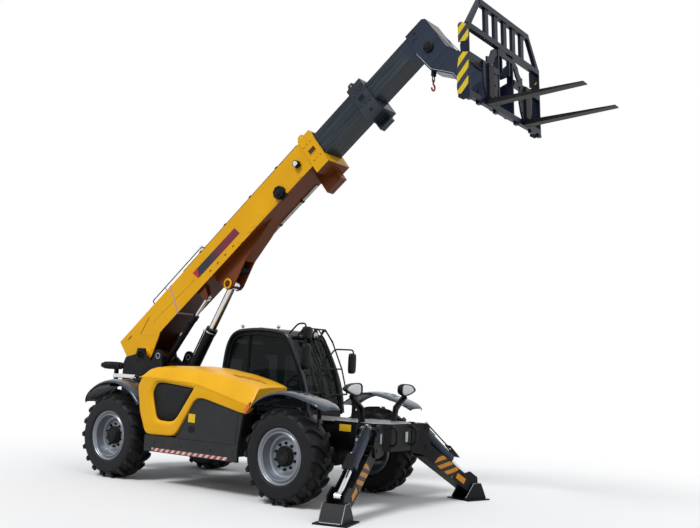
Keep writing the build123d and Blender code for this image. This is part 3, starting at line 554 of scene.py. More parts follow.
fender_slots, fender_stays = Piece(), Piece()
for name, centre in wheel_centre.items():
    s = 1.0 if name.endswith("left") else -1.0
    x = centre[0] - AXLE_MID

    def by_wheel(dx, y, z, x=x, s=s):
        """Points given from above the axle, outwards across the machine."""
        return at(x + np.asarray(dx, float), s * np.asarray(y, float), z)

    fender_stays.block((-0.028, 0.028), (0.365, 0.740), (STAY_TOP - 0.018, STAY_TOP), by_wheel)
    fender_stays.block((-0.028, 0.028), (0.362, 0.384), (0.955, STAY_TOP), by_wheel)
    fender_stays.slab([(0.384, 1.25), (0.50, 1.343), (0.384, 1.343)], -0.005, 0.005, by_wheel, "x")
    a = math.radians(118)                   # the round strut meets the shell behind the axle
    strut = rounded([(0.0, 0.385, 1.352), (0.45 * math.cos(a), 0.60, 1.10 + 0.2 * math.sin(a)),
                     (0.775 * math.cos(a), 0.86, centre[2] + 0.775 * math.sin(a))], 0.12)
    fender_stays.tube(by_wheel(*strut.T), 0.014, 10)
    if name.startswith("front"):
        # each slot is a dark sheet laid on the crown, the painted shade of its opening
        for degrees, y in ((77, 0.90), (71.5, 0.965), (66, 0.90)):
            a = np.radians(degrees + np.array([-1.6, 1.6]))[:, None]
            across = np.array([y - 0.045, y + 0.045])[None, :]
            skin = CROWN_R - CROWN_DROP * (np.abs(across - FENDER_MID) / FENDER_HALF) ** CROWN_POWER + 0.0048
            skin = skin + np.interp(degrees, [64, 72, 82], [0.020, 0.005, 0.0])
            fender_slots.grid(at(x + skin * np.cos(a), s * across, centre[2] + skin * np.sin(a)))
made = fender_slots.done("fender_slots", "root", "dark_paint", cast_black)
made.modifiers.new("wall", "SOLIDIFY").thickness = 0.002
fender_stays.done("fender_stays", "root", "dark_paint", black, bevel=0.002)

# ---- hood ----------------------------------------------------------------------------------------
# One moulded yellow shell on the right side, hinged along its inboard edge. A crease runs
# from above the grille to the front lower tip, and the shell turns in at all its edges.
HOOD_SIDE, HOOD_INNER, HOOD_FRONT = -1.13, -0.43, 1.07
SHELL = 0.010
grille_hole = [(-0.654, 1.392), (0.058, 1.332), (0.050, 1.318), (0.040, 1.302), (0.018, 1.270), (0.000, 1.245),
               (-0.045, 1.180), (-0.276, 0.856), (-0.623, 0.862), (-0.700, 1.080), (-0.744, 1.236)]
hood_edge = [(-0.955, 1.430), (0.080, 1.379), (1.062, 1.135), (1.003, 1.053), (0.286, 1.207), (0.157, 1.204),
             (0.074, 1.156), (-0.240, 0.680), (-0.815, 0.666), (-0.954, 0.951), (-1.028, 1.302)]
hood_turn_in = [0.0, 0.0, 0.10, 0.035, 0.035, 0.035, 0.035, 0.035, 0.62, 0.62, 0.62]
PER_SIDE = 8                                # points along each side of these outlines


def stepped(corners, steps):
    """Points evenly along each side between corners, the last one joined to the first."""
    corners = np.array(corners, float)
    if corners.ndim == 1:
        corners = corners[:, None]
    t = np.linspace(0, 1, steps, endpoint=False)[None, :, None]
    following = np.roll(corners, -1, axis=0)
    return (corners[:, None] * (1 - t) + following[:, None] * t).reshape(-1, corners.shape[1])


def softened(loop, passes):
    """Closed loop of points, each pass moving them a quarter of the way towards their neighbours' middle."""
    for _ in range(passes):
        loop = 0.5 * loop + 0.25 * (np.roll(loop, 1, axis=0) + np.roll(loop, -1, axis=0))
    return loop


hole = softened(stepped(grille_hole, PER_SIDE), 5)
edge = softened(stepped(hood_edge, PER_SIDE), 2)
turn_in = stepped(hood_turn_in, PER_SIDE)[:, 0]
crease_end = 2 * PER_SIDE
turn_in[:crease_end + 1] = 0
edge[0], edge[crease_end] = hood_edge[0], hood_edge[2]
centre = hole.mean(axis=0)
outward = (hole - centre) / np.linalg.norm(hole - centre, axis=1, keepdims=True)
inward = (hole - edge) / np.linalg.norm(hole - edge, axis=1, keepdims=True)
roll = np.where(turn_in > 0, 0.022, 0.001)[:, None]
rings, depths = [], []
for spread, depth in ((0.0, 0.042), (0.0, 0.020), (0.010, 0.017), (0.032, 0.004), (0.044, 0.0)):
    rings.append(hole + outward * spread)               # frame moulded round the grille
    depths.append(np.full(len(hole), depth))
for share in (0.25, 0.5, 0.75, 1.0):                     # flat of the side
    rings.append(rings[4] * (1 - share) + (edge + inward * roll) * share)
    depths.append(np.zeros(len(hole)))
for turn in np.radians([30, 60, 90]):                    # rolled edge, then the return
    rings.append(edge + inward * roll * (1 - math.sin(turn)))
    depths.append(roll[:, 0] * (1 - math.cos(turn)))
rings.append(edge + 0 * inward)
depths.append(np.maximum(turn_in, roll[:, 0]))
rings, depths = np.array(rings), np.array(depths)
hood = Piece()
hood.grid(at(rings[..., 0], HOOD_SIDE + depths, rings[..., 1]), loop_columns=True)

# the top: heights of its inner edge and shoulder at stations, and how far out the shoulder is
station = [-1.02, -0.98, -0.93, -0.86, -0.74, -0.30, 0.08, 0.50, 0.85, 1.03, 1.075]
inner_z = [1.400, 1.480, 1.530, 1.568, 1.600, 1.612, 1.592, 1.535, 1.462, 1.408, 1.385]
shoulder_z = [1.385, 1.462, 1.512, 1.550, 1.580, 1.590, 1.566, 1.513, 1.445, 1.396, 1.374]
shoulder_station, shoulder_out = [-1.02, -0.7, 0.1, 1.07], [-1.06, -1.05, -1.02, -0.975]
SHOULDER_DIP, TOP_CROWN = 0.010, 0.006
along = np.concatenate([np.linspace(-1.02, -0.7, 16), np.linspace(-0.66, 0.98, 30), np.linspace(1.0, HOOD_FRONT, 6)])
crease = np.interp(along, edge[:crease_end + 1, 0], edge[:crease_end + 1, 1])
shoulder = np.interp(along, station, shoulder_z)
inside = np.interp(along, station, inner_z)
shoulder_y = np.interp(along, shoulder_station, shoulder_out)
v = np.linspace(0, 1, 17)[None, :]
bend = 0.5
low_y, low_z = HOOD_SIDE, crease[:, None]
mid_y, mid_z = shoulder_y[:, None], shoulder[:, None]
top_y, top_z = HOOD_INNER, inside[:, None]
t1, t2 = np.clip(v / bend, 0, 1), np.clip((v - bend) / (1 - bend), 0, 1)
skin_y = low_y + (mid_y - low_y) * t1 + (top_y - mid_y) * t2
skin_z = low_z + (mid_z - low_z) * t1 + (top_z - mid_z) * t2
near = np.exp(-((v - bend) / 0.12) ** 2)
skin_z = skin_z - near * SHOULDER_DIP + np.sin(t2 * math.pi) * TOP_CROWN
hood.grid(at(along[:, None], skin_y, skin_z))
nose_low = np.interp(skin_y[-1], [-1.13, -1.08, -0.95, -0.43], [1.053, 1.14, 1.24, 1.30])
nose_x = np.interp(skin_y[-1], [-1.13, -1.0, -0.43], [1.003, 1.045, 1.06])
down = np.linspace(0, 1, 7)[:, None]
nose_z = skin_z[-1][None, :] * (1 - down) + np.minimum(nose_low, skin_z[-1])[None, :] * down
fall = down ** 0.7
hood.grid(at(HOOD_FRONT * (1 - fall) + nose_x[None, :] * fall, skin_y[-1][None, :] + 0 * down, nose_z))
hood_piece = hood.done("hood_shell", "hood", "hood_yellow", yellow, ["hood"], 28)
wall = hood_piece.modifiers.new("wall", "SOLIDIFY")
wall.thickness, wall.offset = SHELL, 0.0

mesh_black = Finish("grille mesh")
holes = mesh_black.node("ShaderNodeTexVoronoi", {"feature": "DISTANCE_TO_EDGE"},
                        {"Vector": mesh_black.place, "Scale": 130.0}, "Distance")
mesh_black["Base Color"] = mesh_black.mixed(holes.sharpened(0.1, 0.25), (0.018, 0.020, 0.021), (0.004, 0.004, 0.005))
mesh_black["Roughness"] = holes * 0.3 + 0.5
mesh_black["Specular IOR Level"] = 0.12
mesh_black.bump(holes, 0.5, 0.004)
grille = Piece()
plane = np.stack([hole + outward * 0.004, hole * 0.5 + centre * 0.5, hole * 0 + centre])
grille.grid(at(plane[..., 0], HOOD_SIDE + 0.032, plane[..., 1]), loop_columns=True)
made = grille.done("hood_grille_mesh", "hood", "grille", mesh_black.material, ["hood_grille"])
made.modifiers.new("wall", "SOLIDIFY").thickness = 0.004

# ---- boom ----------------------------------------------------------------------------------------
# Three welded box sections of plate steel that slide in one another, the outer one yellow and
# the inner two dark slate. Film stripes are stuck on its sides, and bolts hold the wear pads.
PIVOT = np.array(joints["boom_lift"]["pos_m"])
boom_way = np.array(joints["boom_extend"]["axis"])
boom_up = np.cross(boom_way, (0, 1, 0))
OUTER_SIDE, FILM = 0.215, 0.0015


def on_boom(along, y, up):
    """Points given along the boom, across it and square to its length, from its pivot."""
    along, y, up = np.broadcast_arrays(*(np.asarray(v, float) for v in (along, y, up)))
    return PIVOT + along[..., None] * boom_way + y[..., None] * np.array([0, 1.0, 0]) + up[..., None] * boom_up


def boom_finish(name, **fixed):
    """A finish with the distance along the boom, across it and above its pivot line."""
    finish = Finish(name, **fixed)
    along = finish.axis(tuple(boom_way)) - float(PIVOT @ boom_way)
    above = finish.axis(tuple(boom_up)) - float(PIVOT @ boom_up)
    return finish, along, finish.axis((0, 1, 0)), above


# yellow paint, with a painted red-brown shade on its underside that darkens towards the tower
boom_yellow, along, over, above = boom_finish("boom yellow", Coat_Weight=0.05, Coat_Roughness=0.06,
                                              Specular_IOR_Level=0.16)
cloud = boom_yellow.noise(1.6, 4)
tone = boom_yellow.mixed(cloud.sharpened(0.3, 0.7), shade(YELLOW, 0.94), shade(YELLOW, 1.05))
low_edge = (along > 4.078) * -0.146 + 0.0972
# the faces below the side plates get a painted shade colour, not a coat of their own
under = (above < low_edge) * ((abs(over) < 0.205) + (along > 0.5)).sharpened(0.0, 1.0)
brown = boom_yellow.mixed(along.sharpened(0.9, 2.2), (0.050, 0.014, 0.006), (0.190, 0.048, 0.010))
boom_yellow["Base Color"] = boom_yellow.mixed(under, tone, brown)
boom_yellow["Roughness"] = (cloud - 0.5) * 0.08 + 0.36
boom_yellow.bump(boom_yellow.noise(240, 2), 0.04, 0.001)
coat(boom_yellow.material, "boom_outer")

# slate paint polished in long streaks where the sections slide
sliding, along, over, above = boom_finish("sliding section slate", Coat_Weight=0.05, Coat_Roughness=0.1,
                                          Specular_IOR_Level=0.2)
lengthwise = sliding.node("ShaderNodeCombineXYZ", {}, {"X": along * 0.7, "Y": over * 14.0, "Z": above * 14.0})
streak = sliding.node("ShaderNodeTexNoise", {}, {"Vector": lengthwise, "Scale": 1.6, "Detail": 5.0}, "Fac")
worn_blue = sliding.mixed(streak.sharpened(0.35, 0.72), (0.009, 0.015, 0.023), (0.038, 0.053, 0.066))
head_blue = sliding.mixed(streak.sharpened(0.30, 0.80), (0.012, 0.020, 0.040), (0.024, 0.037, 0.068))
sliding["Base Color"] = sliding.mixed(along.sharpened(5.98, 6.02), worn_blue, head_blue)
sliding["Roughness"] = streak * 0.2 + 0.2
coat(sliding.material, "boom_middle", "boom_inner")

stripe, along, _, above = boom_finish("stripe film", Roughness=0.3, Specular_IOR_Level=0.4)
along = along - above * 0.3
first = stripe.mixed(along > 1.475, (0.42, 0.010, 0.030), (0.012, 0.010, 0.028))
stripe["Base Color"] = stripe.mixed(along.sharpened(1.75, 2.1), first, (0.17, 0.010, 0.032))
dark_brown = paint("shadowed hole", (0.06, 0.018, 0.008), 0.7)
seam_yellow = paint("weld bead", (0.80, 0.50, 0.05), 0.4)
# silver-blue paint that stands for the highlights on rounded edges and rings
painted_edge_highlight = paint("bright worn edge", (0.36, 0.40, 0.46), 0.35)
strap_pink = paint("hose strap", (0.52, 0.33, 0.27), 0.5)
steel = Finish("plated steel", Metallic=1.0)
worn = steel.noise(45, 4)
steel["Base Color"] = steel.mixed(worn, (0.42, 0.42, 0.42), (0.66, 0.66, 0.65))
steel["Roughness"] = worn * 0.25 + 0.2
hose_rubber = paint("hose rubber", (0.012, 0.012, 0.013), 0.55)


def oval(x, z, half_long, half_tall, steps=14):
    """Outline of an ellipse about a point."""
    turn = np.linspace(0, 2 * math.pi, steps, endpoint=False)
    return np.stack([x + half_long * np.cos(turn), z + half_tall * np.sin(turn)], -1)


def bolt(piece, foot, way, radius=0.012, height=0.010):
    """Washer and a six-sided head that stands out from a face."""
    piece.turned([(radius * 1.35, 0), (radius * 1.35, height * 0.2), (radius, height * 0.2), (radius, height * 0.85),
                  (radius * 0.8, height)], foot, way, 6)


film, marks, beads, bolts, plates = Piece(), Piece(), Piece(), Piece(), Piece()
for side in (-1, 1):
    face = sorted((side * OUTER_SIDE, side * (OUTER_SIDE + FILM)))
    film.slab([(1.474, 0.388), (2.497, 0.376), (2.530, 0.242), (1.523, 0.244)], *face, on_boom)
    for along in (1.775, 1.954, 2.138, 2.326):
        marks.slab(oval(along, 0.172, 0.024, 0.009), *face, on_boom)
    marks.slab([(0.380, 0.444), (0.368, 0.430), (0.062, 0.334), (0.074, 0.348)], *face, on_boom)
    marks.slab(oval(-0.152, 0.446, 0.062, 0.009), *face, on_boom)
    marks.slab([(0.40, 0.318), (1.46, 0.2765), (1.46, 0.2735), (0.40, 0.315)], *face, on_boom)
    beads.tube(on_boom([0.060, 0.215, 0.382], side * OUTER_SIDE, [0.344, 0.222, 0.108]), 0.004, 6)
    plates.slab([(2.646, 0.156), (3.86, 0.156), (3.86, 0.100), (2.70, 0.100)], side * OUTER_SIDE,
                side * (OUTER_SIDE + 0.004), on_boom)
    plates.slab([(2.405, 0.196), (2.440, 0.196), (2.500, 0.098), (2.450, 0.098)], side * OUTER_SIDE,
                side * (OUTER_SIDE + 0.006), on_boom)
    for along in np.arange(2.80, 3.85, 0.20):
        bolt(bolts, on_boom(along, side * (OUTER_SIDE + 0.004), 0.130), (0, side, 0), 0.008, 0.006)
film.done("boom_stripe_film", "boom_outer", "dark_paint", stripe.material)
marks.done("boom_side_slots", "boom_outer", "dark_paint", dark_brown)
beads.done("boom_weld_beads", "boom_outer", "yellow_paint", seam_yellow)
plates.done("boom_side_plates", "boom_outer", "yellow_paint", yellow, bevel=0.0015)

strap = Piece()
for side in (-1, 1):
    strap.slab([(0.985, 0.538), (1.018, 0.538), (0.912, 0.092), (0.879, 0.092)], side * OUTER_SIDE,
               side * (OUTER_SIDE + 0.004), on_boom)
strap.block((0.879, 0.912), (-0.219, 0.219), (0.0905, 0.0945), on_boom)
strap.block((0.985, 1.018), (-0.219, 0.219), (0.5355, 0.5395), on_boom)
strap.done("boom_hose_strap", "boom_outer", "steel", strap_pink)

# ---- pipes on the boom ---------------------------------------------------------------------------
# Rubber-covered feed lines along the top and two steel pipes under the belly, in pressed
# clips. One line stands clear of the top on posts.
PIPE_Z = 0.5475
pipes, clips = Piece(), Piece()
for y in (-0.196, -0.170, -0.144):
    run = rounded([(1.30, 0.50), (1.32, PIPE_Z), (3.98, PIPE_Z), (4.03, PIPE_Z)], 0.03)
    pipes.tube(on_boom(run[:, 0], y, run[:, 1]), 0.0105, 10)
for along in (1.75, 2.35, 2.95, 3.55):
    clips.block((along, along + 0.05), (-0.213, -0.127), (0.536, 0.562), on_boom)
raised = rounded([(0.555, 0.53), (0.555, 0.612), (1.800, 0.612), (1.870, 0.555), (1.900, 0.548)], 0.03)
pipes.tube(on_boom(raised[:, 0], -0.190, raised[:, 1]), 0.0085, 10)
pipes.tube(on_boom([0.880, 0.880], -0.190, [0.535, 0.612]), 0.006, 8)
pipes.done("boom_top_pipes", "boom_outer", "dark_paint", hose_rubber)
low_pipes = Piece()
for y in (0.150, 0.176):
    low_pipes.tube(on_boom([2.30, 3.80], y, [0.082, 0.082]), 0.010, 10)
for along in (2.45, 2.95, 3.45):
    clips.block((along, along + 0.04), (0.135, 0.192), (0.070, 0.096), on_boom)
clips.done("boom_pipe_clips", "boom_outer", "dark_paint", black, bevel=0.002)
for along in (1.775, 1.815):
    low_pipes.turned([(0.017, 0), (0.017, 0.024)], on_boom(along, -0.190, 0.612), boom_way, 6)
low_pipes.done("boom_steel_pipes", "boom_outer", "steel", steel.material)

# ---- collars -------------------------------------------------------------------------------------
# Heavy welded bands at the mouths of the outer and middle sections. Bolts hold the wear pads
# behind them, and each side has a framed window, drawn as a dark sheet of painted shade.
COLLAR_SIDES = {"outer": 0.240, "middle": 0.205}
COLLAR_RIM = 0.008
windows = {"outer": Piece(), "middle": Piece()}
frames = {"outer": Piece(), "middle": Piece()}
heads = {"outer": bolts, "middle": Piece()}
# bolts along the upper and the lower row, the rows' heights, and the window's middle and half sizes
collar_marks = {"outer": ((4.125, 4.190, 4.255), (4.150, 4.212, 4.278), (0.405, 0.130), (4.200, 0.267, 0.058, 0.036)),
                "middle": ((5.122, 5.185, 5.250), (5.142, 5.205, 5.272), (0.384, 0.166), (5.196, 0.272, 0.046, 0.034))}
for section, (upper, lower, (high, low), (mid, up, long, tall)) in collar_marks.items():
    for side in (-1, 1):
        skin = side * COLLAR_SIDES[section]
        for row, height in ((upper, high), (lower, low)):
            for k, along in enumerate(row):
                bolt(heads[section], on_boom(along, skin, height), (0, side, 0), 0.014 if k != 1 else 0.009)
        rear, fore, foot, head = mid - long, mid + long, up - tall, up + tall
        for x, z in (((rear - COLLAR_RIM, rear), (foot, head)), ((fore, fore + COLLAR_RIM), (foot, head)),
                     ((rear - COLLAR_RIM, fore + COLLAR_RIM), (foot - COLLAR_RIM, foot)),
                     ((rear - COLLAR_RIM, fore + COLLAR_RIM), (head, head + COLLAR_RIM))):
            frames[section].block(x, sorted((skin, skin + side * 0.005)), z, on_boom)
        # the window is a flat dark sheet: painted shade of the opening
        dark = sorted((skin, skin + side * 0.001))
        windows[section].slab([(rear, foot), (fore, foot), (fore, head), (rear, head)], *dark, on_boom)
        if section == "middle":
            windows[section].slab(oval(5.212, 0.029, 0.024, 0.024, 20), *dark, on_boom)
windows["outer"].done("collar_window_outer", "boom_outer", "dark_paint", dark_brown)
windows["middle"].done("collar_window_middle", "boom_middle", "dark_paint", black)
frames["outer"].done("collar_frame_outer", "boom_outer", "yellow_paint", yellow, bevel=0.001)
frames["middle"].done("collar_frame_middle", "boom_middle", "slate_paint", slate, bevel=0.001)
heads["middle"].done("collar_bolts_middle", "boom_middle", "slate_paint", slate)
bolts.done("boom_bolts", "boom_outer", "yellow_paint", yellow)

# ---- drum cover and boom lamp --------------------------------------------------------------------
# A moulded black cover over the end of the hose drum, with eight grips, and a small work lamp
# in a pressed shell. Both are bolted to the outer section's right side.
DRUM, GRIP_RING = (3.433, 0.185), 0.082
cover = Piece()
drum = on_boom(DRUM[0], -OUTER_SIDE, DRUM[1])
cover.turned([(0.092, 0), (0.096, 0.006), (0.096, 0.050), (0.090, 0.062), (0.074, 0.068), (0.070, 0.062),
              (0.052, 0.062), (0.046, 0.074), (0.020, 0.080), (0.0, 0.080)], drum, (0, -1, 0), 32)
for k in range(8):
    x = DRUM[0] + GRIP_RING * math.cos(k * math.pi / 4)
    z = DRUM[1] + GRIP_RING * math.sin(k * math.pi / 4)
    cover.block((x - 0.007, x + 0.007), (-0.288, -0.270), (z - 0.007, z + 0.007), on_boom)
cover.block((3.40, 3.52), (-0.245, -0.215), (0.06, 0.11), on_boom)
lamp_shell = rounded([(3.86, 0.25), (3.85, 0.33), (3.90, 0.36), (3.95, 0.31), (3.94, 0.25)], 0.02)
cover.slab(lamp_shell, -0.285, -0.225, on_boom)
cover.block((3.885, 3.905), (-0.226, -0.214), (0.25, 0.30), on_boom)
cover.done("boom_drum_cover", "boom_outer", "dark_paint", black, bevel=0.002)
lens_clear = Finish("clear lamp lens", Roughness=0.08, Specular_IOR_Level=0.7, Coat_Weight=0.6)
facets = lens_clear.node("ShaderNodeTexVoronoi", {}, {"Vector": lens_clear.place, "Scale": 120.0}, "Distance")
lens_clear["Base Color"] = lens_clear.mixed(facets.sharpened(0.1, 0.7), (0.50, 0.53, 0.56), (0.86, 0.88, 0.90))
lens_clear.bump(facets, 0.4, 0.003)
lens = Piece()
lens.slab([(3.868, 0.262), (3.862, 0.322), (3.90, 0.345), (3.935, 0.305), (3.928, 0.262)], -0.2885, -0.2845, on_boom)
lens.done("boom_lamp_lens", "boom_outer", "lamp", lens_clear.material, bevel=0.001)

# ---- lift lug ------------------------------------------------------------------------------------
# Bushed eye under the outer section where the lift rod pulls. Turned rings and two keeper
# bolts hold the pin, and a black block in front guards the hoses.
LIFT_PIN = (1.860, -0.130)
lug, guard_block = Piece(), Piece()
for y, side in ((-0.102, -1), (0.142, 1)):
    centre = on_boom(LIFT_PIN[0], y, LIFT_PIN[1])
    lug.turned([(0.052, 0), (0.052, 0.012), (0.072, 0.012), (0.078, 0.006), (0.078, 0)], centre, (0, side, 0), 32, True)
    for k in (-0.03, 0.03):
        bolt(guard_block, on_boom(LIFT_PIN[0] + k, y + side * 0.006, LIFT_PIN[1]), (0, side, 0), 0.010, 0.014)
lug.done("lift_lug_rings", "boom_outer", "yellow_paint", yellow, bevel=0.001)
guard_block.block((2.095, 2.190), (-0.068, 0.108), (-0.125, -0.060), on_boom)
guard_block.done("lift_lug_hose_guard", "boom_outer", "dark_paint", black, bevel=0.004)

# ---- boom head -----------------------------------------------------------------------------------
# Bent plate head on the inner section. Each side has the boss of the tilt cylinder's rear
# pin with three nuts, a round hole and an arc slot as black sheets of painted shade, and painted
# highlights along its edges.
TILT_BASE, HEAD_SKIN = (6.302, 0.055), 0.170
boss, head_marks, head_highlight = Piece(), Piece(), Piece()
for side in (-1, 1):
    centre = on_boom(TILT_BASE[0], side * 0.184, TILT_BASE[1])
    boss.turned([(0.072, 0), (0.072, 0.008), (0.060, 0.012), (0.036, 0.012), (0.032, 0.022), (0.0, 0.024)], centre,
                (0, side, 0), 28)
    for k in range(3):
        turn = k * 2.094 + 0.6
        foot = on_boom(TILT_BASE[0] + 0.048 * math.cos(turn), side * 0.195, TILT_BASE[1] + 0.048 * math.sin(turn))
        bolt(boss, foot, (0, side, 0), 0.012, 0.012)
    skin = sorted((side * HEAD_SKIN, side * (HEAD_SKIN + FILM)))
    head_marks.slab(oval(6.266, 0.365, 0.018, 0.018, 18), *skin, on_boom)
    arc = np.linspace(0.15, 2.9, 12)
    ring = [np.stack([6.215 + r * np.cos(arc), 0.255 + r * np.sin(arc)], -1) for r in (0.052, 0.042)]
    head_marks.slab(np.concatenate([ring[0], ring[1][::-1]]), *skin, on_boom)
    head_marks.slab([(6.475, 0.35), (6.483, 0.35), (6.52, -0.26), (6.512, -0.26)], *skin, on_boom)
    # thin tubes along the head's edges in the painted highlight colour
    for edge in ([(6.125, 0.120), (6.151, -0.197), (6.336, -0.487)], [(6.336, -0.487), (6.322, -0.78)]):
        edge = np.array(edge)
        head_highlight.tube(on_boom(edge[:, 0], side * 0.168, edge[:, 1]), 0.005, 6)
boss.done("head_bosses", "boom_inner", "dark_paint", black, bevel=0.001)
head_marks.done("head_slots", "boom_inner", "dark_paint", black)
head_highlight.done("head_bright_edges", "boom_inner", "slate_paint", painted_edge_highlight)

# ---- load hook -----------------------------------------------------------------------------------
# Forged red hook on a shackle, hung from a lug under the boom head. Its bowl is an arc of
# 40 mm radius that carries on from a straight shank.
hook_top = on_boom(6.151, -0.10, -0.205)
shackle, hook = Piece(), Piece()


def by_hook(x, y, z):
    """Points given from the hook's lug."""
    return hook_top + np.stack(np.broadcast_arrays(x, y, z), -1)


shackle.block((-0.022, 0.022), (-0.03, 0.03), (-0.075, 0.015), by_hook)
bow = np.linspace(0, 2 * math.pi, 17)
shackle.tube(by_hook(0.0, 0.026 * np.sin(bow), -0.105 + 0.040 * np.cos(bow)), 0.008, 8)
shackle.done("hook_shackle", "boom_inner", "dark_paint", black, bevel=0.002)
turn = np.linspace(math.pi * 0.5, -math.pi * 0.95, 18)
bend_y, bend_z = 0.040 * np.cos(turn), -0.222 + 0.040 * np.sin(turn)
hook_line = np.concatenate([[(0, -0.122), (0, -0.165)], np.stack([bend_y, bend_z], -1)])
hook.tube(by_hook(0.0, *hook_line.T), 0.012, 10)
swivel = [(0.0, 0), (0.016, 0.0), (0.020, 0.012), (0.016, 0.026), (0, 0.028)]
hook.turned(swivel, hook_top + (0, 0, -0.150), (0, 0, 1), 14)
red = paint("red paint", (0.42, 0.012, 0.014), 0.35, 0.2)
hook.done("load_hook", "boom_inner", "dark_paint", red)

# ---- hood and skirt fittings ---------------------------------------------------------------------
# Four louvres pressed up out of the hood's top, an amber ridged piece on its front lower tip that
# paints the shade inside the shell's return, and small black screws. The skirt has a moulded recess
# and a blank yellow plate.
SKIRT_SKIN, HOOD_SKIN = (-1.1325, -1.1300), -1.131
LOUVRE_RISE = 0.013
louvres, marker, recess, plate, screws = Piece(), Piece(), Piece(), Piece(), Piece()


def on_top(x, y):
    """Height of the hood's upper skin: a straight line from shoulder to inner edge and half a sine wave."""
    low = np.interp(x, station, shoulder_z)
    high = np.interp(x, station, inner_z)
    edge_y = np.interp(x, shoulder_station, shoulder_out)
    share = np.clip((y - edge_y) / (HOOD_INNER - edge_y), 0, 1)
    return low + (high - low) * share + np.sin(share * math.pi) * TOP_CROWN + SHELL / 2


for start, stop, y_mid in ((0.485, 0.650, -0.842), (0.573, 0.753, -0.792),
                           (0.669, 0.874, -0.757), (0.770, 0.960, -0.722)):
    u = np.linspace(0, 1, 13)[:, None]
    rise = np.sin(math.pi * u) ** 0.5 * LOUVRE_RISE
    y = y_mid + np.array([-0.020, -0.008, 0.006, 0.045])[None, :] - 0.012 * u
    x = start + (stop - start) * u + 0 * y
    louvres.grid(at(x, y, on_top(x, y) + np.array([0.0, 0.9, 1.0, 0.0])[None, :] * rise))
# the louvres are painted a darker orange, as the shade they throw on the hood's top
louvre_painted_shade = paint("louvre shade", (0.46, 0.19, 0.005), 0.45, gloss=0.1)
louvres.done("hood_louvres", "hood", "hood_yellow", louvre_painted_shade, smooth=60)
# amber ridged piece at the hood's front lower tip: painted shade of the shell's turned-in return
amber = Finish("amber marker", Roughness=0.12, Coat_Weight=0.5)
ridge = amber.axis((0, 0, 1)) * 90.0
amber["Base Color"] = amber.mixed(ridge.part() < 0.5, (0.80, 0.16, 0.008), (0.55, 0.09, 0.006))
amber.bump(ridge.part(), 0.4, 0.002)
marker.slab([(0.985, 1.052), (1.006, 1.062), (1.066, 1.130), (1.066, 1.205), (1.030, 1.170), (0.980, 1.112)],
            -1.1360, -1.095, at)
marker.done("hood_marker", "hood", "lamp", amber.material, bevel=0.002)
recess.slab(rounded([(0.070, 0.745), (0.130, 0.760), (0.128, 0.830), (0.070, 0.842), (0.010, 0.830), (0.008, 0.760),
                     (0.070, 0.745)], 0.03)[:-1], *SKIRT_SKIN, at)
recess.done("skirt_recess", "root", "grey_panel", black)
plate.slab([(0.000, 0.885), (0.125, 0.880), (0.128, 0.990), (0.003, 0.995)], *SKIRT_SKIN, at)
for x, z in ((-0.90, 1.36), (-0.86, 0.75), (-0.30, 0.72), (0.20, 1.26), (0.88, 1.16)):
    bolt(screws, at(x, HOOD_SKIN, z), (0, -1, 0), 0.009, 0.003)
plain_film = paint("blank yellow film", (0.80, 0.52, 0.015), 0.35, grain=90)
plate.done("skirt_blank_plate", "root", "yellow_paint", plain_film, bevel=0.0008)
screws.done("hood_screws", "hood", "dark_paint", cast_black)

# ---- side skirt ----------------------------------------------------------------------------------
# Dark grey pressed panel under the hood, bolted on along its foot, where a film of slanted
# red and white is stuck.
SLANT_PITCH = 0.105
red_white = Finish("slanted red and white film", Roughness=0.35)
slant = ((red_white.axis((1, 0, -1.0)) + 20) * (1 / SLANT_PITCH)).part()
grime = red_white.noise(14, 5).sharpened(0.4, 0.8) * 0.35
colours = red_white.mixed(slant < 0.5, (0.60, 0.58, 0.55), (0.42, 0.018, 0.014))
red_white["Base Color"] = red_white.mixed(grime, colours, (0.10, 0.08, 0.07))
strip, seams = Piece(), Piece()
strip.slab([(-0.66, 0.456), (0.74, 0.456), (0.74, 0.496), (-0.66, 0.496)], -1.1330, -1.1295, at)
strip.done("skirt_film", "root", "grey_panel", red_white.material)
for x in (-0.62, -0.10, 0.44, 0.82):
    bolt(seams, at(x, -1.1300, 0.560), (0, -1, 0), 0.010, 0.004)
seam = rounded([(0.18, 1.182), (0.285, 1.186), (0.88, 1.055), (0.86, 0.66), (-0.19, 0.66), (0.10, 1.13),
                (0.18, 1.182)], 0.03)
seams.tube(at(seam[:, 0], -1.1305, seam[:, 1]), 0.003, 6)
seams.done("skirt_seams", "root", "grey_panel", cast_black)

# ---- fork carriage -------------------------------------------------------------------------------
# Welded frame of slate plate with two hung tines. The ends carry yellow film stripes, and
# curved braces and heel plates stiffen it.
CARRIAGE_TIP = math.radians(3.3)
carriage_way = np.array([math.cos(CARRIAGE_TIP), 0, math.sin(CARRIAGE_TIP)])
carriage_up = np.array([-math.sin(CARRIAGE_TIP), 0, math.cos(CARRIAGE_TIP)])
GUARD_MID = at(3.866, 0, 5.614)
CARRIAGE_END, END_CAP = 0.957, 0.938


def on_carriage(x, y, z):
    """Points given from the middle of the guard's mid rail, forward, across and up its face."""
    x, y, z = np.broadcast_arrays(*(np.asarray(v, float) for v in (x, y, z)))
    return GUARD_MID + x[..., None] * carriage_way + y[..., None] * np.array([0, 1.0, 0]) + z[..., None] * carriage_up


def striped(name, low, high, way, pitch, share, start=0.0):
    """Film with slanted stripes: the whole number left out of a distance along a slanted direction."""
    finish = Finish(name, Specular_IOR_Level=0.35)
    step = ((finish.axis(tuple(way)) + start) * (1.0 / pitch)).part()
    dirt = finish.noise(30, 4).sharpened(0.35, 0.8) * 0.25
    colour = finish.mixed(step < share, low, high)
    finish["Base Color"] = finish.mixed(dirt, colour, shade(low, 1.2))
    finish["Roughness"] = dirt * 0.4 + 0.32
    return finish.material


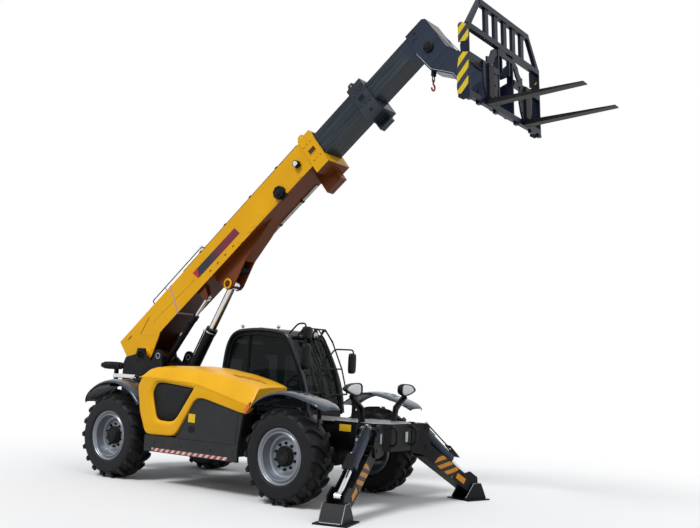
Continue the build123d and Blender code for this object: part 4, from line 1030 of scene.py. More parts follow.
hazard = striped("carriage stripe film", (0.020, 0.028, 0.040), (0.80, 0.58, 0.015),
                 carriage_up - 1.10 * carriage_way, 0.180, 0.5, 0.06)
night = paint("carriage blue black", (0.008, 0.014, 0.032), 0.34, 0.0, 0.02, 260, 0.16)
coat(night, "load_guard", "fork_carriage")
film, braces, heels, caps = Piece(), Piece(), Piece(), Piece()
for side in (-1, 1):
    skin = sorted((side * CARRIAGE_END, side * (CARRIAGE_END + 2 * FILM)))
    film.slab([(0.028, -0.192), (-0.100, -0.180), (-0.108, 0.020), (-0.092, 0.046), (-0.060, 0.050), (0.028, -0.010)],
              *skin, on_carriage)
    film.slab([(0.028, -0.330), (-0.090, -0.300), (-0.125, -0.500), (-0.132, -0.720), (-0.124, -0.790),
               (-0.080, -0.800), (0.012, -0.720)], *skin, on_carriage)
    caps.slab([(-0.074, -0.180), (-0.108, -0.180), (-0.110, 0.020), (-0.092, 0.048), (-0.060, 0.052), (0.030, -0.010),
               (0.030, -0.034), (-0.074, -0.034)], *sorted((side * END_CAP, side * CARRIAGE_END)), on_carriage)
    brace = [(0.480, -0.220), (0.430, -0.215), (0.385, -0.180), (0.350, -0.110), (0.290, -0.075), (0.205, -0.060),
             (0.205, -0.130), (0.260, -0.170), (0.300, -0.245), (0.370, -0.300), (0.480, -0.312)]
    braces.slab([(side * y, z) for y, z in brace], -0.010, 0.012, on_carriage, "x")
    heel = [(0.655, -0.335), (0.420, -0.335), (0.330, -0.370), (0.290, -0.460), (0.292, -0.580), (0.330, -0.700),
            (0.390, -0.800), (0.560, -0.800), (0.640, -0.640), (0.662, -0.480)]
    heels.slab([(side * y, z) for y, z in heel], 0.0315, 0.052, on_carriage, "x")
    for z in (-0.42, -0.56, -0.70):
        bolt(heels, on_carriage(0.052, side * 0.36, z), carriage_way, 0.012, 0.008)
    for y in (0.24, 0.66, 0.90):
        caps.block((-0.020, 0.030), sorted((side * y, side * (y + 0.07))), (-0.872, -0.838), on_carriage)
    caps.block((-0.095, -0.060), sorted((side * 0.925, side * 0.936)), (-0.26, -0.20), on_carriage)
film.done("carriage_stripe_film", "fork_carriage", "slate_paint", hazard)
braces.done("carriage_braces", "fork_carriage", "slate_paint", night, bevel=0.003)
heels.done("tine_heel_plates", "fork_carriage", "slate_paint", night, bevel=0.003)
caps.done("carriage_end_caps", "fork_carriage", "slate_paint", night, bevel=0.003)
tine_black = paint("forged tine", (0.009, 0.008, 0.008), 0.42, 0.0, 0.06, 90, 0.14)
coat(tine_black, "forks")

# two formed hoses from the lower rail to the coupling on the end plate
feed = Piece()
for k in (0, 1):
    line = rounded([(-0.030, -0.300 - 0.05 * k, -0.350), (-0.095, -0.360 - 0.04 * k, -0.365), (-0.105, -0.620, -0.345),
                    (-0.080, -0.860, -0.260), (-0.048, -0.938, -0.165 - 0.05 * k)], 0.10)
    feed.tube(on_carriage(*(line - (0.015 * k, 0, 0)).T), 0.011, 10)
feed.done("carriage_hoses", "fork_carriage", "dark_paint", hose_rubber)

# ---- cylinders -----------------------------------------------------------------------------------
# Welded steel tubes with a gland nut at the mouth. A thin pipe runs up the side of each to
# feed its far end, and ends in plated fittings.
def ram_line(pivot, slide):
    """Where a cylinder starts and which way it points."""
    return np.array(joints[pivot]["pos_m"]), np.array(joints[slide]["axis"])


def feed_pipe(piece, fittings, base, way, side, near, far, reach, radius):
    """Pipe held off a barrel: out, along and back in again, with a fitting round it at each end."""
    points = [base + way * spot + side * reach * share
              for spot, share in ((near, 0.72), (near, 1.0), (far, 1.0), (far, 0.72))]
    piece.tube(rounded(points, 0.03), radius, 10)
    for spot in (near, far):
        fittings.turned([(radius * 2.0, 0), (radius * 2.0, 0.022)], base + way * (spot - 0.011) + side * reach, way, 6)


lift_base, lift_way = ram_line("lift_barrel_pivot", "lift_rod_slide")
rear_side = np.cross((0, 1, 0), lift_way)
rear_side = rear_side if rear_side[0] < 0 else -rear_side
pipe, fittings = Piece(), Piece()
feed_pipe(pipe, fittings, lift_base, lift_way, rear_side, 0.16, 1.30, 0.125, 0.011)
band = [(0.0885, 0), (0.0905, 0.004), (0.0905, 0.014), (0.0885, 0.018)]
gland = [(0.0575, 0), (0.066, 0.0), (0.066, 0.003), (0.0575, 0.004)]
fittings.turned(band, lift_base + lift_way * 1.345, lift_way, 32)
fittings.turned(gland, lift_base + lift_way * 1.4005, lift_way, 32, True)
pipe.done("lift_feed_pipe", "lift_barrel", "dark_paint", black)
fittings.done("lift_fittings", "lift_barrel", "steel", steel.material)
level_base, level_way = ram_line("levelling_barrel_pivot", "levelling_rod_slide")
pipe = Piece()
feed_pipe(pipe, pipe, level_base, level_way, np.array([0, -1.0, 0]), 0.14, 0.95, 0.062, 0.007)
pipe.done("levelling_feed_pipe", "levelling_barrel", "dark_paint", black)

# ---- stabilisers ---------------------------------------------------------------------------------
# Black box legs that fold up in front of the wheels, each with a thick slate cylinder on top
# and a wedge shoe. Their front plates carry slanted orange film stripes.
LEG_YAW, LEG_DIP, LEG_SIDE = math.radians(16), math.radians(30.2), 0.107
LEG_SKIN = 0.0012
orange = (0.72, 0.27, 0.012)


def leg_ways(s):
    """Outwards and forwards of a leg, which is turned ahead by its yaw: s is 1 on the left and -1 on the right."""
    return (np.array([math.sin(LEG_YAW), s * math.cos(LEG_YAW), 0]),
            np.array([math.cos(LEG_YAW), -s * math.sin(LEG_YAW), 0]))


for name, s in (("left", 1.0), ("right", -1.0)):
    hinge = np.array(joints[f"stabiliser_leg_{name}_hinge"]["pos_m"])
    out, fore = leg_ways(s)
    leg_way = out * math.cos(LEG_DIP) - np.array([0, 0, math.sin(LEG_DIP)])
    leg_up = out * math.sin(LEG_DIP) + np.array([0, 0, math.cos(LEG_DIP)])
    ankle = np.array(joints[f"stabiliser_pad_{name}_ankle"]["pos_m"])

    def on_leg(x, along, up):
        """Points given across a leg, along it and square to it, from its hinge."""
        x, along, up = np.broadcast_arrays(*(np.asarray(v, float) for v in (x, along, up)))
        return hinge + x[..., None] * fore + along[..., None] * leg_way + up[..., None] * leg_up

    def on_shoe(x, u, z):
        """Points given across a shoe, outwards and up, from its ankle."""
        x, u, z = np.broadcast_arrays(*(np.asarray(v, float) for v in (x, u, z)))
        return ankle + x[..., None] * fore + u[..., None] * out + z[..., None] * np.array([0, 0, 1.0])

    slanted = leg_way - 1.05 * leg_up
    bars = striped(f"leg stripe film {name}", BLACK, orange, slanted, 0.150, 0.52, -float(hinge @ slanted) + 0.02)
    film, plate, shoe_highlights, pins = Piece(), Piece(), Piece(), Piece()
    for skin in ((LEG_SIDE, LEG_SIDE + LEG_SKIN), (-LEG_SIDE - LEG_SKIN, -LEG_SIDE)):
        film.slab([(0.255, -0.104), (0.640, -0.106), (0.690, 0.056), (0.300, 0.070)], *skin, on_leg, "x")
        plate.slab([(0.705, -0.070), (0.880, -0.070), (0.880, 0.004), (0.705, 0.004)], *skin, on_leg, "x")
        for along, up, size in ((0.0, 0.0, 0.030), (0.055, -0.045, 0.014), (0.065, 0.020, 0.014), (1.083, 0.0, 0.026)):
            foot = on_leg(skin[0] if skin[0] < 0 else skin[1], along, up)
            bolt(pins, foot, fore * np.sign(skin[0]), size, 0.012 if size < 0.02 else 0.008)
    film.done(f"leg_stripe_film_{name}", f"stabiliser_leg_{name}", "dark_paint", bars)
    plate_orange = paint(f"orange plate {name}", orange, 0.4)
    plate.done(f"leg_blank_plate_{name}", f"stabiliser_leg_{name}", "dark_paint", plate_orange)
    pins.done(f"leg_bolts_{name}", f"stabiliser_leg_{name}", "steel", cast_black)

    # thin tubes along the shoe's edges in the painted highlight colour
    for x in (-0.1345, 0.1345):
        for run in ([(-0.190, -0.140), (-0.050, 0.045), (0.090, 0.045), (0.190, -0.148)],
                    [(-0.205, -0.168), (0.195, -0.168)]):
            run = np.array(run)
            shoe_highlights.tube(on_shoe(x, run[:, 0], run[:, 1]), 0.0035, 6)
    shoe_highlights.tube(on_shoe([-0.12, 0.12], 0.192, -0.146), 0.0045, 6)
    shoe_highlights.done(f"shoe_edge_highlights_{name}", f"stabiliser_pad_{name}", "steel", painted_edge_highlight)

    base, way = ram_line(f"stabiliser_barrel_{name}_pivot", f"stabiliser_rod_{name}_slide")
    top = np.cross(way, fore)
    top = top if top[2] > 0 else -top
    pipe, fittings = Piece(), Piece()
    feed_pipe(pipe, fittings, base + fore * 0.02, way, top, 0.05, 0.60, 0.102, 0.009)
    feed_pipe(pipe, fittings, base - fore * 0.03, way, top, 0.08, 0.30, 0.094, 0.008)
    for spot in (0.10, 0.20, 0.52, 0.60):
        fittings.turned([(0.013, 0), (0.013, 0.014), (0.009, 0.016), (0.009, 0.026)],
                        base + way * spot + top * 0.066 - fore * 0.03, top, 8)
    fittings.turned([(0.0365, 0), (0.050, 0.0), (0.050, 0.003), (0.0365, 0.004)], base + way * 0.690, way, 28, True)
    for bar in (-0.050, 0.050):
        foot = base + fore * bar + way * 0.02
        fittings.tube([foot - top * 0.01, foot + top * 0.055], 0.012, 10)
    flap = [base + way * 0.56 + top * 0.115, base + way * 0.80 + top * 0.100]
    flap_wide, flap_thick = fore * 0.055, top * 0.006
    hoop = [-flap_wide, flap_wide, flap_wide + flap_thick, flap_thick - flap_wide]
    pipe.grid(np.array(flap)[:, None] + np.array(hoop)[None, :], loop_columns=True)
    pipe.done(f"stabiliser_pipe_{name}", f"stabiliser_barrel_{name}", "dark_paint", black)
    fittings.done(f"stabiliser_fittings_{name}", f"stabiliser_barrel_{name}", "steel", steel.material)

# ---- front frame ---------------------------------------------------------------------------------
# Black welded block with a chequered aluminium step on top, whose edge has a painted highlight
# along it. It carries upright white reflectors and a blank yellow plate.
FRONT_TOP = 1.025
tread_plate = Finish("chequered plate", Metallic=0.6)
lozenge = tread_plate.node("ShaderNodeTexVoronoi", {"feature": "SMOOTH_F1"},
                           {"Vector": tread_plate.place, "Scale": 34.0}, "Distance").sharpened(0.5, 0.2)
scuff = tread_plate.noise(9, 5).sharpened(0.35, 0.75)
tread_plate["Base Color"] = tread_plate.mixed(lozenge, (0.10, 0.105, 0.115), (0.42, 0.43, 0.45))
tread_plate["Roughness"] = scuff * 0.3 + 0.32
tread_plate.bump(lozenge, 0.6, 0.004)
step, edge = Piece(), Piece()
plan = [(1.86, -0.385), (2.445, -0.385), (2.590, -0.220), (2.590, 0.220), (2.445, 0.385), (1.86, 0.385)]
step.slab(plan, FRONT_TOP, FRONT_TOP + 0.004, at, "z")
step.slab([(0.875, -0.400), (1.845, -0.400), (1.845, 0.400), (0.875, 0.400)], 1.011, 1.017, at, "z")
step.done("front_step_plates", "root", "steel", tread_plate.material, bevel=0.001)
# a thin tube round the step's edge in the painted highlight colour
line = rounded([(1.86, -0.391), (2.447, -0.391), (2.596, -0.222), (2.596, 0.222), (2.447, 0.391), (1.86, 0.391)], 0.03)
edge.tube(at(line[:, 0], line[:, 1], FRONT_TOP), 0.005, 6)
edge.done("front_bright_edge", "root", "steel", painted_edge_highlight)

white_film = paint("white reflector", (0.62, 0.64, 0.66), 0.25, 0.4)
REFLECTOR_HALF = 0.026
reflectors, blank = Piece(), Piece()
nose = np.array([0.150, 0.170]) / math.hypot(0.150, 0.170)
for middle, way in ((np.array([2.507, -0.333]), nose), (np.array([2.602, 0.118]), np.array([0.0, 1.0]))):
    reach, normal = way * REFLECTOR_HALF, np.array([way[1], -way[0]]) * 0.004
    plan = [middle - reach, middle + reach, middle + reach + normal, middle - reach + normal]
    reflectors.slab(plan, 0.800, 0.925, at, "z")
hinge = np.array(joints["stabiliser_leg_right_hinge"]["pos_m"])
out, fore = leg_ways(-1.0)
ear = [hinge + fore * depth + out * (-0.120 + shift) + np.array([0, 0, high]) for high in (0.075, 0.195)
       for depth, shift in ((0.1345, -REFLECTOR_HALF), (0.1345, REFLECTOR_HALF),
                            (0.138, REFLECTOR_HALF), (0.138, -REFLECTOR_HALF))]
rings = np.array(ear).reshape(2, 4, 3)
reflectors.grid(rings, loop_columns=True)
reflectors.lid(rings)
reflectors.done("front_reflectors", "root", "lamp", white_film)
plate_yellow = paint("blank yellow plate", (0.78, 0.47, 0.02), 0.4)
blank.block((1.930, 2.110), (-0.3975, -0.395), (0.900, 0.985), at)
blank.done("front_blank_plate", "root", "yellow_paint", plate_yellow, bevel=0.0008)

# ---- head lamps ----------------------------------------------------------------------------------
# Moulded black shells with facetted clear lenses, on bent flat arms that stand on the front
# frame. Shell and lens are one outline, drawn in towards its middle along the lamp.
LAMP_SHAPE = [(0.789, 1.430), (0.760, 1.462), (0.700, 1.492), (0.620, 1.507), (0.520, 1.510), (0.474, 1.500),
              (0.448, 1.468), (0.446, 1.400), (0.470, 1.366), (0.520, 1.350), (0.600, 1.356), (0.690, 1.380),
              (0.760, 1.408)]
LAMP_ARM = [(0.300, 1.024), (0.425, 1.024), (0.455, 1.165), (0.650, 1.340), (0.600, 1.395), (0.340, 1.215)]
# place along the machine and share of the outline's size, from the back forwards
shell_steps = [(2.180, 0.45), (2.205, 0.80), (2.240, 0.96), (2.275, 1.0), (2.300, 1.0), (2.300, 0.90), (2.290, 0.88)]
lens_steps = [(2.2905, 0.87), (2.298, 0.80), (2.304, 0.55), (2.306, 0.20)]
shell, lens, arms = Piece(), Piece(), Piece()
for side in (-1, 1):
    outline = np.array(LAMP_SHAPE) * (side, 1)
    core = outline.mean(axis=0)
    for piece, steps in ((shell, shell_steps), (lens, lens_steps)):
        rings = np.array([at(x, *(core + (outline - core) * share).T) for x, share in steps])
        piece.grid(rings, loop_columns=True)
        piece.lid(rings[[0, -1]])
    arms.slab([(side * y, z) for y, z in LAMP_ARM], 2.236, 2.250, at, "x")
shell.done("head_lamp_shells", "root", "dark_paint", black, ["head_lamps"], 40)
lens.done("head_lamp_lenses", "root", "lamp", lens_clear.material, smooth=40)
arms.done("head_lamp_arms", "root", "dark_paint", black, bevel=0.002)

# ---- cab -----------------------------------------------------------------------------------------
# Welded black frame with a smooth glossy rail round each side, rubber seals round the
# tinted panes, a moulded lining, a wiper and bent tube door handles.
CAB_SIDES = ((0.300, -1), (1.098, 1))       # where each side is, and which way is out
CAB_SIDE = [(0.865, 1.030), (0.825, 1.340), (0.715, 1.620), (0.560, 1.910), (0.445, 2.085), (0.330, 2.150),
            (-0.100, 2.192), (-0.520, 2.162), (-0.655, 2.085), (-0.745, 1.920), (-0.798, 1.570), (-0.820, 1.030)]
SEAL_SIDE = [(0.780, 1.100), (0.755, 1.330), (0.650, 1.600), (0.500, 1.870), (0.390, 2.040), (0.300, 2.085),
             (-0.100, 2.120), (-0.500, 2.095), (-0.600, 2.030), (-0.680, 1.890), (-0.730, 1.560), (-0.750, 1.100)]
cab_gloss = paint("cab rail gloss", (0.010, 0.014, 0.022), 0.16, 0.25, 0.01, 260, 0.25)
rubber_seal = paint("rubber seal", (0.006, 0.006, 0.006), 0.7, 0.0, 0.03, 400, 0.2)
rails, seals, lining = Piece(), Piece(), Piece()
for y, reach in CAB_SIDES:
    path = rounded(CAB_SIDE, 0.20, 10)
    rails.tube(at(path[:, 0], y + 0.004 * reach, path[:, 1]), 0.027, 14)
    path = rounded(SEAL_SIDE, 0.16, 10)
    path = np.vstack([path, path[:1]])
    seals.tube(at(path[:, 0], y + 0.004 * reach, path[:, 1]), 0.009, 8)
for y, _ in CAB_SIDES:
    seals.tube(at([-0.318, -0.318], y, [1.08, 2.13]), 0.010, 8)
roof = [(-0.60, 2.06), (-0.52, 2.12), (-0.10, 2.145), (0.30, 2.11), (0.38, 2.05), (0.30, 2.02), (-0.10, 2.03),
        (-0.52, 2.02)]
lining.slab(roof, 0.36, 1.04, at)
lining.block((-0.66, 0.42), (1.045, 1.078), (1.83, 2.05), at)
lining.block((-0.745, -0.715), (0.36, 1.04), (1.06, 1.40), at)
lining.block((-0.700, -0.670), (0.36, 1.04), (1.74, 1.98), at)
lining.block((-0.735, -0.700), (0.62, 0.70), (1.40, 1.76), at)
rails.done("cab_side_rails", "root", "dark_paint", cab_gloss, smooth=50)
seals.done("cab_seals", "root", "rubber", rubber_seal)
cabin_grain = paint("moulded cabin plastic", (0.014, 0.015, 0.016), 0.6, 0.0, 0.05, 700, 0.25)
lining.done("cab_lining", "root", "cabin_plastic", cabin_grain, bevel=0.006)

wiper = Piece()
wiper.tube(at([0.905, 0.880, 0.745], [0.70, 0.62, 0.58], [1.08, 1.22, 1.60]), 0.006, 8)
wiper.tube(at([0.868, 0.790, 0.672], [0.56, 0.575, 0.59], [1.30, 1.48, 1.72]), 0.0065, 8)
wiper.turned([(0.018, 0), (0.018, 0.03), (0.012, 0.04)], at(0.870, 0.70, 1.075), (1, 0, 0), 16)
wiper.done("cab_wiper", "root", "dark_paint", rubber_seal)
latch = Piece()
for start, stop, stand, radius in (((0.52, 1.36), (0.70, 1.33), 1.150, 0.010),
                                   ((-0.23, 1.45), (-0.25, 1.80), 1.145, 0.009)):
    ends = ((start, 1.105), (start, stand), (stop, stand), (stop, 1.105))
    latch.tube(rounded([at(x, y, z) for (x, z), y in ends], 0.03), radius, 10)
latch.done("cab_door_handles", "cab_door", "dark_paint", black)

# ---- guard brackets and lamp ---------------------------------------------------------------------
# Flat and round steel brackets that hold the windscreen guard to the roof's edge, and a round
# work lamp in a turned shell that hangs from its top bar.
GUARD_LAMP, LAMP_WAY = at(0.560, 0.74, 2.135), (1, -0.15, -0.1)
bracket, lamp, face = Piece(), Piece(), Piece()
for y in (0.585, 1.045):
    line = rounded([(0.435, y, 2.125), (0.470, y, 2.215), (0.500, y, 2.235)], 0.03)
    bracket.tube(at(*line.T), 0.012, 10)
bracket.block((0.470, 0.505), (0.56, 1.07), (2.228, 2.240), at)
bracket.block((0.495, 0.507), (0.80, 0.88), (2.09, 2.232), at)
bracket.block((0.440, 0.500), (0.80, 0.88), (2.082, 2.094), at)
for y in (0.565, 1.065):
    bracket.slab([(0.640, 2.040), (0.668, 2.052), (0.566, 2.165), (0.500, 2.232), (0.470, 2.232), (0.540, 2.165)],
                 y - 0.004, y + 0.004, at)
lamp.turned([(0.010, -0.045), (0.035, -0.040), (0.048, -0.015), (0.052, 0.020), (0.052, 0.034), (0.046, 0.034),
             (0.044, 0.028)], GUARD_LAMP, LAMP_WAY, 28)
lamp.block((0.552, 0.566), (0.735, 0.745), (2.180, 2.235), at)
face.turned([(0.045, 0.026), (0.038, 0.032), (0.018, 0.036), (0.004, 0.037)], GUARD_LAMP, LAMP_WAY, 28)
bracket.done("guard_brackets", "root", "dark_paint", black, bevel=0.002)
lamp.done("guard_lamp_shell", "root", "dark_paint", cast_black)
face.done("guard_lamp_lens", "root", "lamp", lens_clear.material)

# ---- mirrors -------------------------------------------------------------------------------------
# Rounded black housings on bent tube arms, each with a silvered face towards the driver.
silvered = Finish("mirror glass", Metallic=1.0)
haze = silvered.noise(5, 3)
silvered["Base Color"] = silvered.mixed(haze, (0.62, 0.66, 0.68), (0.72, 0.75, 0.77))
silvered["Roughness"] = haze * 0.04 + 0.03
housings, faces = Piece(), Piece()


def housing(x, y, z):
    """Mirror between low and high values: a rounded rectangle whose back is crowned away from the driver."""
    a = np.linspace(0, 2 * math.pi, 40, endpoint=False)
    circle = np.stack([np.cos(a), np.sin(a)], -1)
    ring = np.sign(circle) * np.abs(circle) ** 0.45
    half = np.array([(y[1] - y[0]) / 2, (z[1] - z[0]) / 2])
    middle = np.array([sum(y) / 2, sum(z) / 2])

    def rings(steps):
        """The outline at shares of the depth, each drawn in by an inset."""
        return np.array([at(x[0] + (x[1] - x[0]) * share, *(middle[:, None] + (half - inset)[:, None] * ring.T))
                         for share, inset in steps])
    body = rings([(0.10, 0.008), (0.0, 0.006), (0.0, 0.0), (0.45, 0.0), (0.75, 0.006), (0.92, 0.020), (1.0, 0.045)])
    housings.grid(body, loop_columns=True)
    housings.lid(body[-1:])
    housings.lid(body[:1])
    glassy = rings([(0.09, 0.008), (0.06, 0.010)])
    faces.grid(glassy, loop_columns=True)
    faces.lid(glassy[1:])


housing((0.725, 0.785), (0.255, 0.425), (1.640, 2.000))
housing((0.725, 0.785), (0.262, 0.425), (2.060, 2.240))
housing((0.865, 0.925), (1.180, 1.330), (1.600, 1.900))
for arm in ([(0.440, 0.306, 2.135), (0.620, 0.290, 2.280), (0.755, 0.290, 2.280), (0.755, 0.290, 1.900)],
            [(0.590, 1.098, 1.850), (0.620, 1.170, 1.950), (0.900, 1.255, 1.950), (0.900, 1.255, 1.860)]):
    housings.tube(at(*rounded(arm, 0.05).T), 0.012, 12)
housings.done("mirror_housings", "root", "dark_paint", black, ["mirrors"], 40)
faces.done("mirror_faces", "root", "glass", silvered.material)

# ---- driver's place ------------------------------------------------------------------------------
# Foam pads in black fabric with sewn channels, swelled by a short cloth run, on a moulded
# base. The moulded column in front of them has three dials, and a lever stands beside it.
PAD_GRID, PAD_SWELL, PAD_MESH = 25, 0.014, 0.006
PAD_PRESSURE, CLOTH_FRAMES = 4.0, 20
SEAM_WIDE, SEAM_DEEP = 0.009, 0.010
weave = Finish("seat fabric", Specular_IOR_Level=0.2)
thread = weave.node("ShaderNodeTexWave", {"wave_type": "BANDS"}, {"Vector": weave.place, "Scale": 420.0}, "Fac")
across = weave.node("ShaderNodeTexWave", {"bands_direction": "Y"}, {"Vector": weave.place, "Scale": 420.0}, "Fac")
worn = weave.noise(9, 4).sharpened(0.4, 0.8)
weave["Base Color"] = weave.mixed(worn, (0.020, 0.021, 0.024), (0.045, 0.046, 0.050))
weave["Roughness"] = worn * 0.1 + 0.82
weave.bump(thread * across, 0.35, 0.0008)


def corners(mesh):
    """Every vertex of a mesh as one array of points."""
    flat = np.empty(len(mesh.vertices) * 3)
    mesh.vertices.foreach_get("co", flat)
    return flat.reshape(-1, 3)


def cushion(name, low, high, lean, seams):
    """Pad between low and high corners, leaned back over its height. It starts smaller by what it may swell, as
    thick as a superellipse of the distance from its middle, and each seam is a valley shaped as a bell curve."""
    u, v = np.meshgrid(np.linspace(-1, 1, PAD_GRID), np.linspace(-1, 1, PAD_GRID), indexing="ij")
    size = (np.array(high) - low) / 2 - PAD_SWELL
    thin = int(np.argmin(size))
    wide = [k for k in range(3) if k != thin]
    edge = np.clip(1 - np.maximum(np.abs(u), np.abs(v)) ** 8, 0, 1) ** 0.5
    shapes = []
    for face_side in (-1, 1):
        spot = np.zeros((PAD_GRID, PAD_GRID, 3))
        squeeze = 1 - 0.10 * (u * v) ** 2
        spot[..., wide[0]], spot[..., wide[1]] = u * squeeze * size[wide[0]], v * squeeze * size[wide[1]]
        spot[..., thin] = face_side * size[thin] * (0.35 + 0.65 * edge)
        shapes.append(spot)
    pad = Piece()
    for spot in shapes:
        pad.grid(spot)
    rim = [np.concatenate([s[0], s[1:, -1], s[-1, -2::-1], s[-2:0:-1, 0]]) for s in shapes]
    pad.grid(np.array(rim), loop_columns=True)
    made = pad.done(name, "root", "seat_fabric", weave.material, ["seat"], 180)
    middle = at(*((np.array(low) + high) / 2))
    remesh = made.modifiers.new("even mesh", "REMESH")
    remesh.mode, remesh.voxel_size = "VOXEL", PAD_MESH
    bpy.context.view_layer.update()
    even = bpy.data.meshes.new_from_object(made.evaluated_get(bpy.context.evaluated_depsgraph_get()))
    made.modifiers.clear()
    made.data = even
    before = corners(even)
    cloth = made.modifiers.new("cloth", "CLOTH")
    cloth.settings.use_pressure = True
    cloth.settings.uniform_pressure_force = PAD_PRESSURE
    cloth.settings.effector_weights.gravity = 0.0
    for step in range(1, CLOTH_FRAMES + 1):
        bpy.context.scene.frame_set(step)
    swollen = bpy.data.meshes.new_from_object(made.evaluated_get(bpy.context.evaluated_depsgraph_get()))
    bpy.context.scene.frame_set(1)
    made.modifiers.clear()
    move = corners(swollen) - before
    far = np.linalg.norm(move, axis=1, keepdims=True)
    spots = before + move * np.minimum(1.0, PAD_SWELL / np.maximum(far, 1e-9))
    even.vertices.foreach_set("co", spots.ravel())
    even.materials.clear()
    even.materials.append(weave.material)
    even.shade_smooth()
    smooth = made.modifiers.new("smooth", "SUBSURF")
    smooth.levels = smooth.render_levels = 1
    mesh = made.data
    spots = corners(mesh)
    share = spots / size
    for axis, value in seams:
        pull = np.exp(-(((share[:, axis] - value) * size[axis]) / SEAM_WIDE) ** 2) * SEAM_DEEP
        spots[:, thin] -= np.sign(spots[:, thin]) * pull * (np.abs(share[:, thin]) > 0.4)
    spots[:, 0] += -lean * (spots[:, 2] + size[2])
    mesh.vertices.foreach_set("co", (spots + middle).ravel())
    mesh.update()


cushion("seat_cushion", (-0.40, 0.46, 1.205), (0.04, 0.94, 1.325), 0.0, [(1, -0.5), (1, 0.5), (0, -0.55)])
cushion("seat_back", (-0.445, 0.49, 1.340), (-0.335, 0.91, 1.800), 0.12, [(1, -0.5), (1, 0.5), (2, 0.25)])
cushion("seat_head_rest", (-0.500, 0.57, 1.830), (-0.410, 0.83, 1.945), 0.10, [(1, 0.0)])
base = Piece()
base.slab([(-0.42, 1.075), (0.05, 1.075), (0.06, 1.17), (0.02, 1.195), (-0.40, 1.195), (-0.43, 1.16)], 0.48, 0.92, at)
for y in (0.64, 0.76):
    base.tube(at([-0.475, -0.462], y, [1.80, 1.86]), 0.008, 8)
for rib in (1.095, 1.118, 1.141):
    base.slab([(-0.425, rib), (0.055, rib), (0.058, rib + 0.008), (-0.430, rib + 0.008)], 0.472, 0.928, at)
base.done("seat_base", "root", "cabin_plastic", cabin_grain, bevel=0.006)
coat(cabin_grain, "steering_console")
belt = Piece()
strap = rounded([(-0.42, 0.90, 1.33), (-0.36, 0.905, 1.348), (-0.24, 0.92, 1.345), (-0.20, 0.955, 1.25)], 0.04)
band = np.stack([at(*strap.T), at(*strap.T) + (0.045, 0, 0.002)], 0)
belt.grid(np.concatenate([band, band[::-1] + np.array([0, 0, 0.003])]), loop_rows=True)
belt.block((-0.245, -0.195), (0.930, 0.958), (1.325, 1.360), at)
belt.done("seat_belt", "root", "rubber", rubber_seal)
dials = Piece()
for y in (0.60, 0.70, 0.80):
    dials.turned([(0.034, 0), (0.034, 0.008), (0.029, 0.008), (0.028, 0.004)], at(0.452, y, 1.395), (-0.35, 0, 1), 24)
dials.tube(at([0.20, 0.19], [0.93, 0.93], [1.20, 1.40]), 0.010, 10)
knob = [(0.006, 0), (0.020, 0.008), (0.024, 0.030), (0.018, 0.050), (0.004, 0.056)]
dials.turned(knob, at(0.19, 0.93, 1.395), (0, 0, 1), 20)
dials.done("console_dials", "root", "cabin_plastic", rubber_seal)

# ---- boom tower ----------------------------------------------------------------------------------
# Two upright plates that carry the boom. The pins' ringed ends are held by four bolts each,
# and a lug plate with a bush is welded on in front of them; the bush's ring is a painted highlight.
LUG_X, LUG_Z, LUG_R = -1.560, 1.735, 0.095
pins, lug, bushes = Piece(), Piece(), Piece()
for side in (-1, 1):
    for centre, radius in ((PIVOT, 0.045), (lift_base, 0.030), (level_base, 0.030)):
        spot = np.array([centre[0], side * 0.331, centre[2]])
        pins.turned([(radius + 0.022, 0), (radius + 0.022, 0.010), (radius + 0.012, 0.014), (radius * 0.45, 0.014),
                     (radius * 0.40, 0.006), (0.006, 0.006)], spot, (0, side, 0), 28)
        for k in range(4):
            a = math.radians(45 + 90 * k)
            foot = spot + np.array([(radius + 0.052) * math.cos(a), 0, (radius + 0.052) * math.sin(a)])
            bolt(pins, foot, (0, side, 0), 0.010, 0.007)
    turn = np.linspace(math.radians(165), math.radians(-35), 18)
    head = np.stack([LUG_X + LUG_R * np.cos(turn), LUG_Z + LUG_R * np.sin(turn)], -1)
    lug.slab([(-1.700, 1.640), *head, (-1.440, 1.440), (-1.560, 1.540)], *sorted((side * 0.292, side * 0.328)), at)
    bushes.turned([(0.046, -0.0205), (0.046, 0.0205), (0.034, 0.0205), (0.034, -0.0205)],
                  at(LUG_X, side * 0.310, LUG_Z), (0, side, 0), 28, True)
pins.done("tower_pins", "root", "cast", cast_black)
lug.done("tower_lug_plates", "root", "dark_paint", black, bevel=0.004)
bushes.done("tower_bushes", "root", "steel", painted_edge_highlight)

# ---- tail lamps and tow hitch --------------------------------------------------------------------
# Moulded lamps in black cases, red below and amber above, let into the counterweight. The
# hitch is a bolted plate with two jaws and a headed pin.
TAIL_SPLIT = 1.03                           # height where the lamp turns from red to amber
red_lens = Finish("tail lamp", Roughness=0.12, Coat_Weight=0.6)
cells = red_lens.node("ShaderNodeTexVoronoi", {"feature": "F1"}, {"Vector": red_lens.place, "Scale": 120.0}, "Distance")
red_lens["Base Color"] = red_lens.mixed(red_lens.axis((0, 0, 1)) > TAIL_SPLIT, (0.45, 0.012, 0.010), (0.75, 0.22, 0.01))
red_lens.bump(cells, 0.3, 0.002)
tails, cases, tow = Piece(), Piece(), Piece()
for side in (-1, 1):
    cases.block((-2.566, -2.550), (side * 0.44, side * 0.60), (0.955, 1.105), at)
    tails.block((-2.572, -2.565), (side * 0.452, side * 0.588), (0.967, 1.093), at)
    for z in (0.64, 0.86):
        bolt(cases, at(-2.550, side * 0.30, z), (-1, 0, 0), 0.018, 0.012)
for z in (0.700, 0.800):
    tow.slab([(-2.550, -0.09), (-2.640, -0.07), (-2.672, -0.03), (-2.672, 0.03), (-2.640, 0.07), (-2.550, 0.09)],
             z, z + 0.022, at, "z")
tow.tube(at([-2.630, -2.630], 0, [0.660, 0.880]), 0.019, 16)
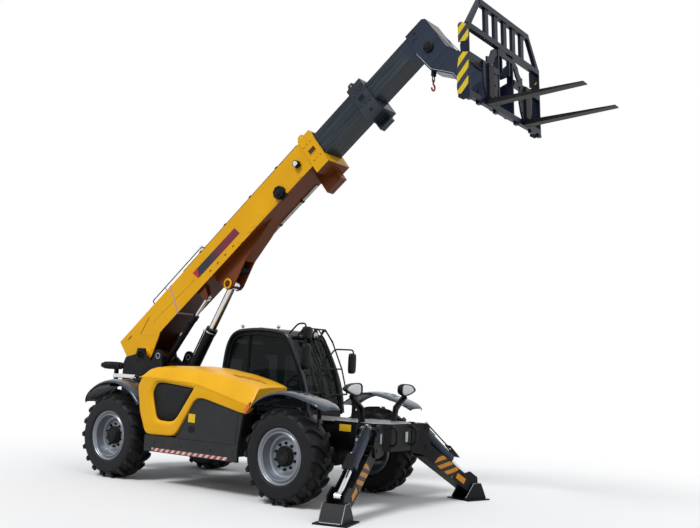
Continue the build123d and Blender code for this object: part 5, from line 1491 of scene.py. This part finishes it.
tow.turned([(0.032, 0), (0.032, 0.010), (0.012, 0.012), (0.010, 0.034)], at(-2.630, 0, 0.874), (0, 0, 1), 20)
tow.block((-2.562, -2.550), (-0.120, 0.120), (0.660, 0.860), at)
cases.done("tail_lamp_cases", "root", "dark_paint", black, bevel=0.003)
tails.done("tail_lamp_lenses", "root", "lamp", red_lens.material, bevel=0.003)
tow.done("tow_hitch", "root", "cast", cast_black, bevel=0.002)

# ---- tank, steps and receiver --------------------------------------------------------------------
# Pressed straps hold the tank on the left side, and a ribbed cap closes its filler. The steps
# have raised cleats, and ribs run round the receiver behind the tower.
straps, cap, cleats = Piece(), Piece(), Piece()
for x in (-0.66, -0.06):
    loop = [(0.424, 0.966), (1.136, 0.966), (1.136, 0.455), (0.424, 0.455)]
    band = np.array([[at(x + dx, y, z) for y, z in loop] for dx in (0.0, 0.045)])
    straps.grid(band, loop_columns=True)
made = straps.done("tank_straps", "root", "dark_paint", cast_black, smooth=20)
made.modifiers.new("wall", "SOLIDIFY").thickness = 0.003
cap.turned([(0.045, 0), (0.045, 0.012), (0.040, 0.030), (0.034, 0.034), (0.006, 0.036)],
           at(-0.62, 1.02, 0.958), (0, 0, 1), 12)
cap.done("tank_cap", "root", "dark_paint", rubber_seal)
for z in (0.471, 0.711):
    for x in np.linspace(0.19, 0.77, 12):
        cleats.block((x - 0.010, x + 0.010), (0.83, 1.12), (z - 0.0005, z + 0.004), at)
cleats.done("step_cleats", "root", "steel", tread_plate.material)
ribs = Piece()
for x in np.linspace(-2.72, -2.48, 9):
    ribs.turned([(0.055, 0), (0.059, 0.003), (0.059, 0.009), (0.055, 0.012)], at(x, -0.31, 1.555), (1, 0, 0), 28, True)
ribs.done("receiver_ribs", "root", "rubber", rubber_seal)
coat(steel.material, "roof_lamps")

# ---- floor and the end ---------------------------------------------------------------------------
# Pale floor that fades to white away from the machine. What it sends back to the machine is
# held low by a duller surface that only bounced light meets.
FLOOR_HALF = 60
floor_mesh = bpy.data.meshes.new("floor")
floor_mesh.from_pydata([(x * FLOOR_HALF, y * FLOOR_HALF, 0) for x, y in ((-1, -1), (1, -1), (1, 1), (-1, 1))],
                       [], [(0, 1, 2, 3)])
floor = bpy.data.objects.new("floor", floor_mesh)
bpy.context.scene.collection.objects.link(floor)
pale = Finish("pale floor", Roughness=0.9, Specular_IOR_Level=0.0, Base_Color=(0.86, 0.86, 0.86))
dull = pale.node("ShaderNodeBsdfDiffuse", {}, {"Color": (0.30, 0.30, 0.30)}, "BSDF")
bright = pale.node("ShaderNodeEmission", {}, {"Color": (1.0, 1.0, 1.0)}, "Emission")
rays = pale.tree.nodes.new("ShaderNodeLightPath")
seen = (Wire(pale, rays.outputs["Is Camera Ray"]) + Wire(pale, rays.outputs["Is Glossy Ray"])
        + Wire(pale, rays.outputs["Is Transmission Ray"]))
away = pale.node("ShaderNodeVectorMath", {"operation": "LENGTH"}, {"Vector": pale.place}, "Value")
near_floor = Wire(pale, pale.shader.outputs[0])
faded = pale.node("ShaderNodeMixShader", {}, {0: away.sharpened(3.5, 9.0), 1: near_floor, 2: bright})
shown = pale.node("ShaderNodeMixShader", {}, {0: seen.sharpened(0.0, 1.0), 1: dull, 2: faded})
pale.feed(pale.surface, shown)
floor_mesh.materials.append(pale.material)
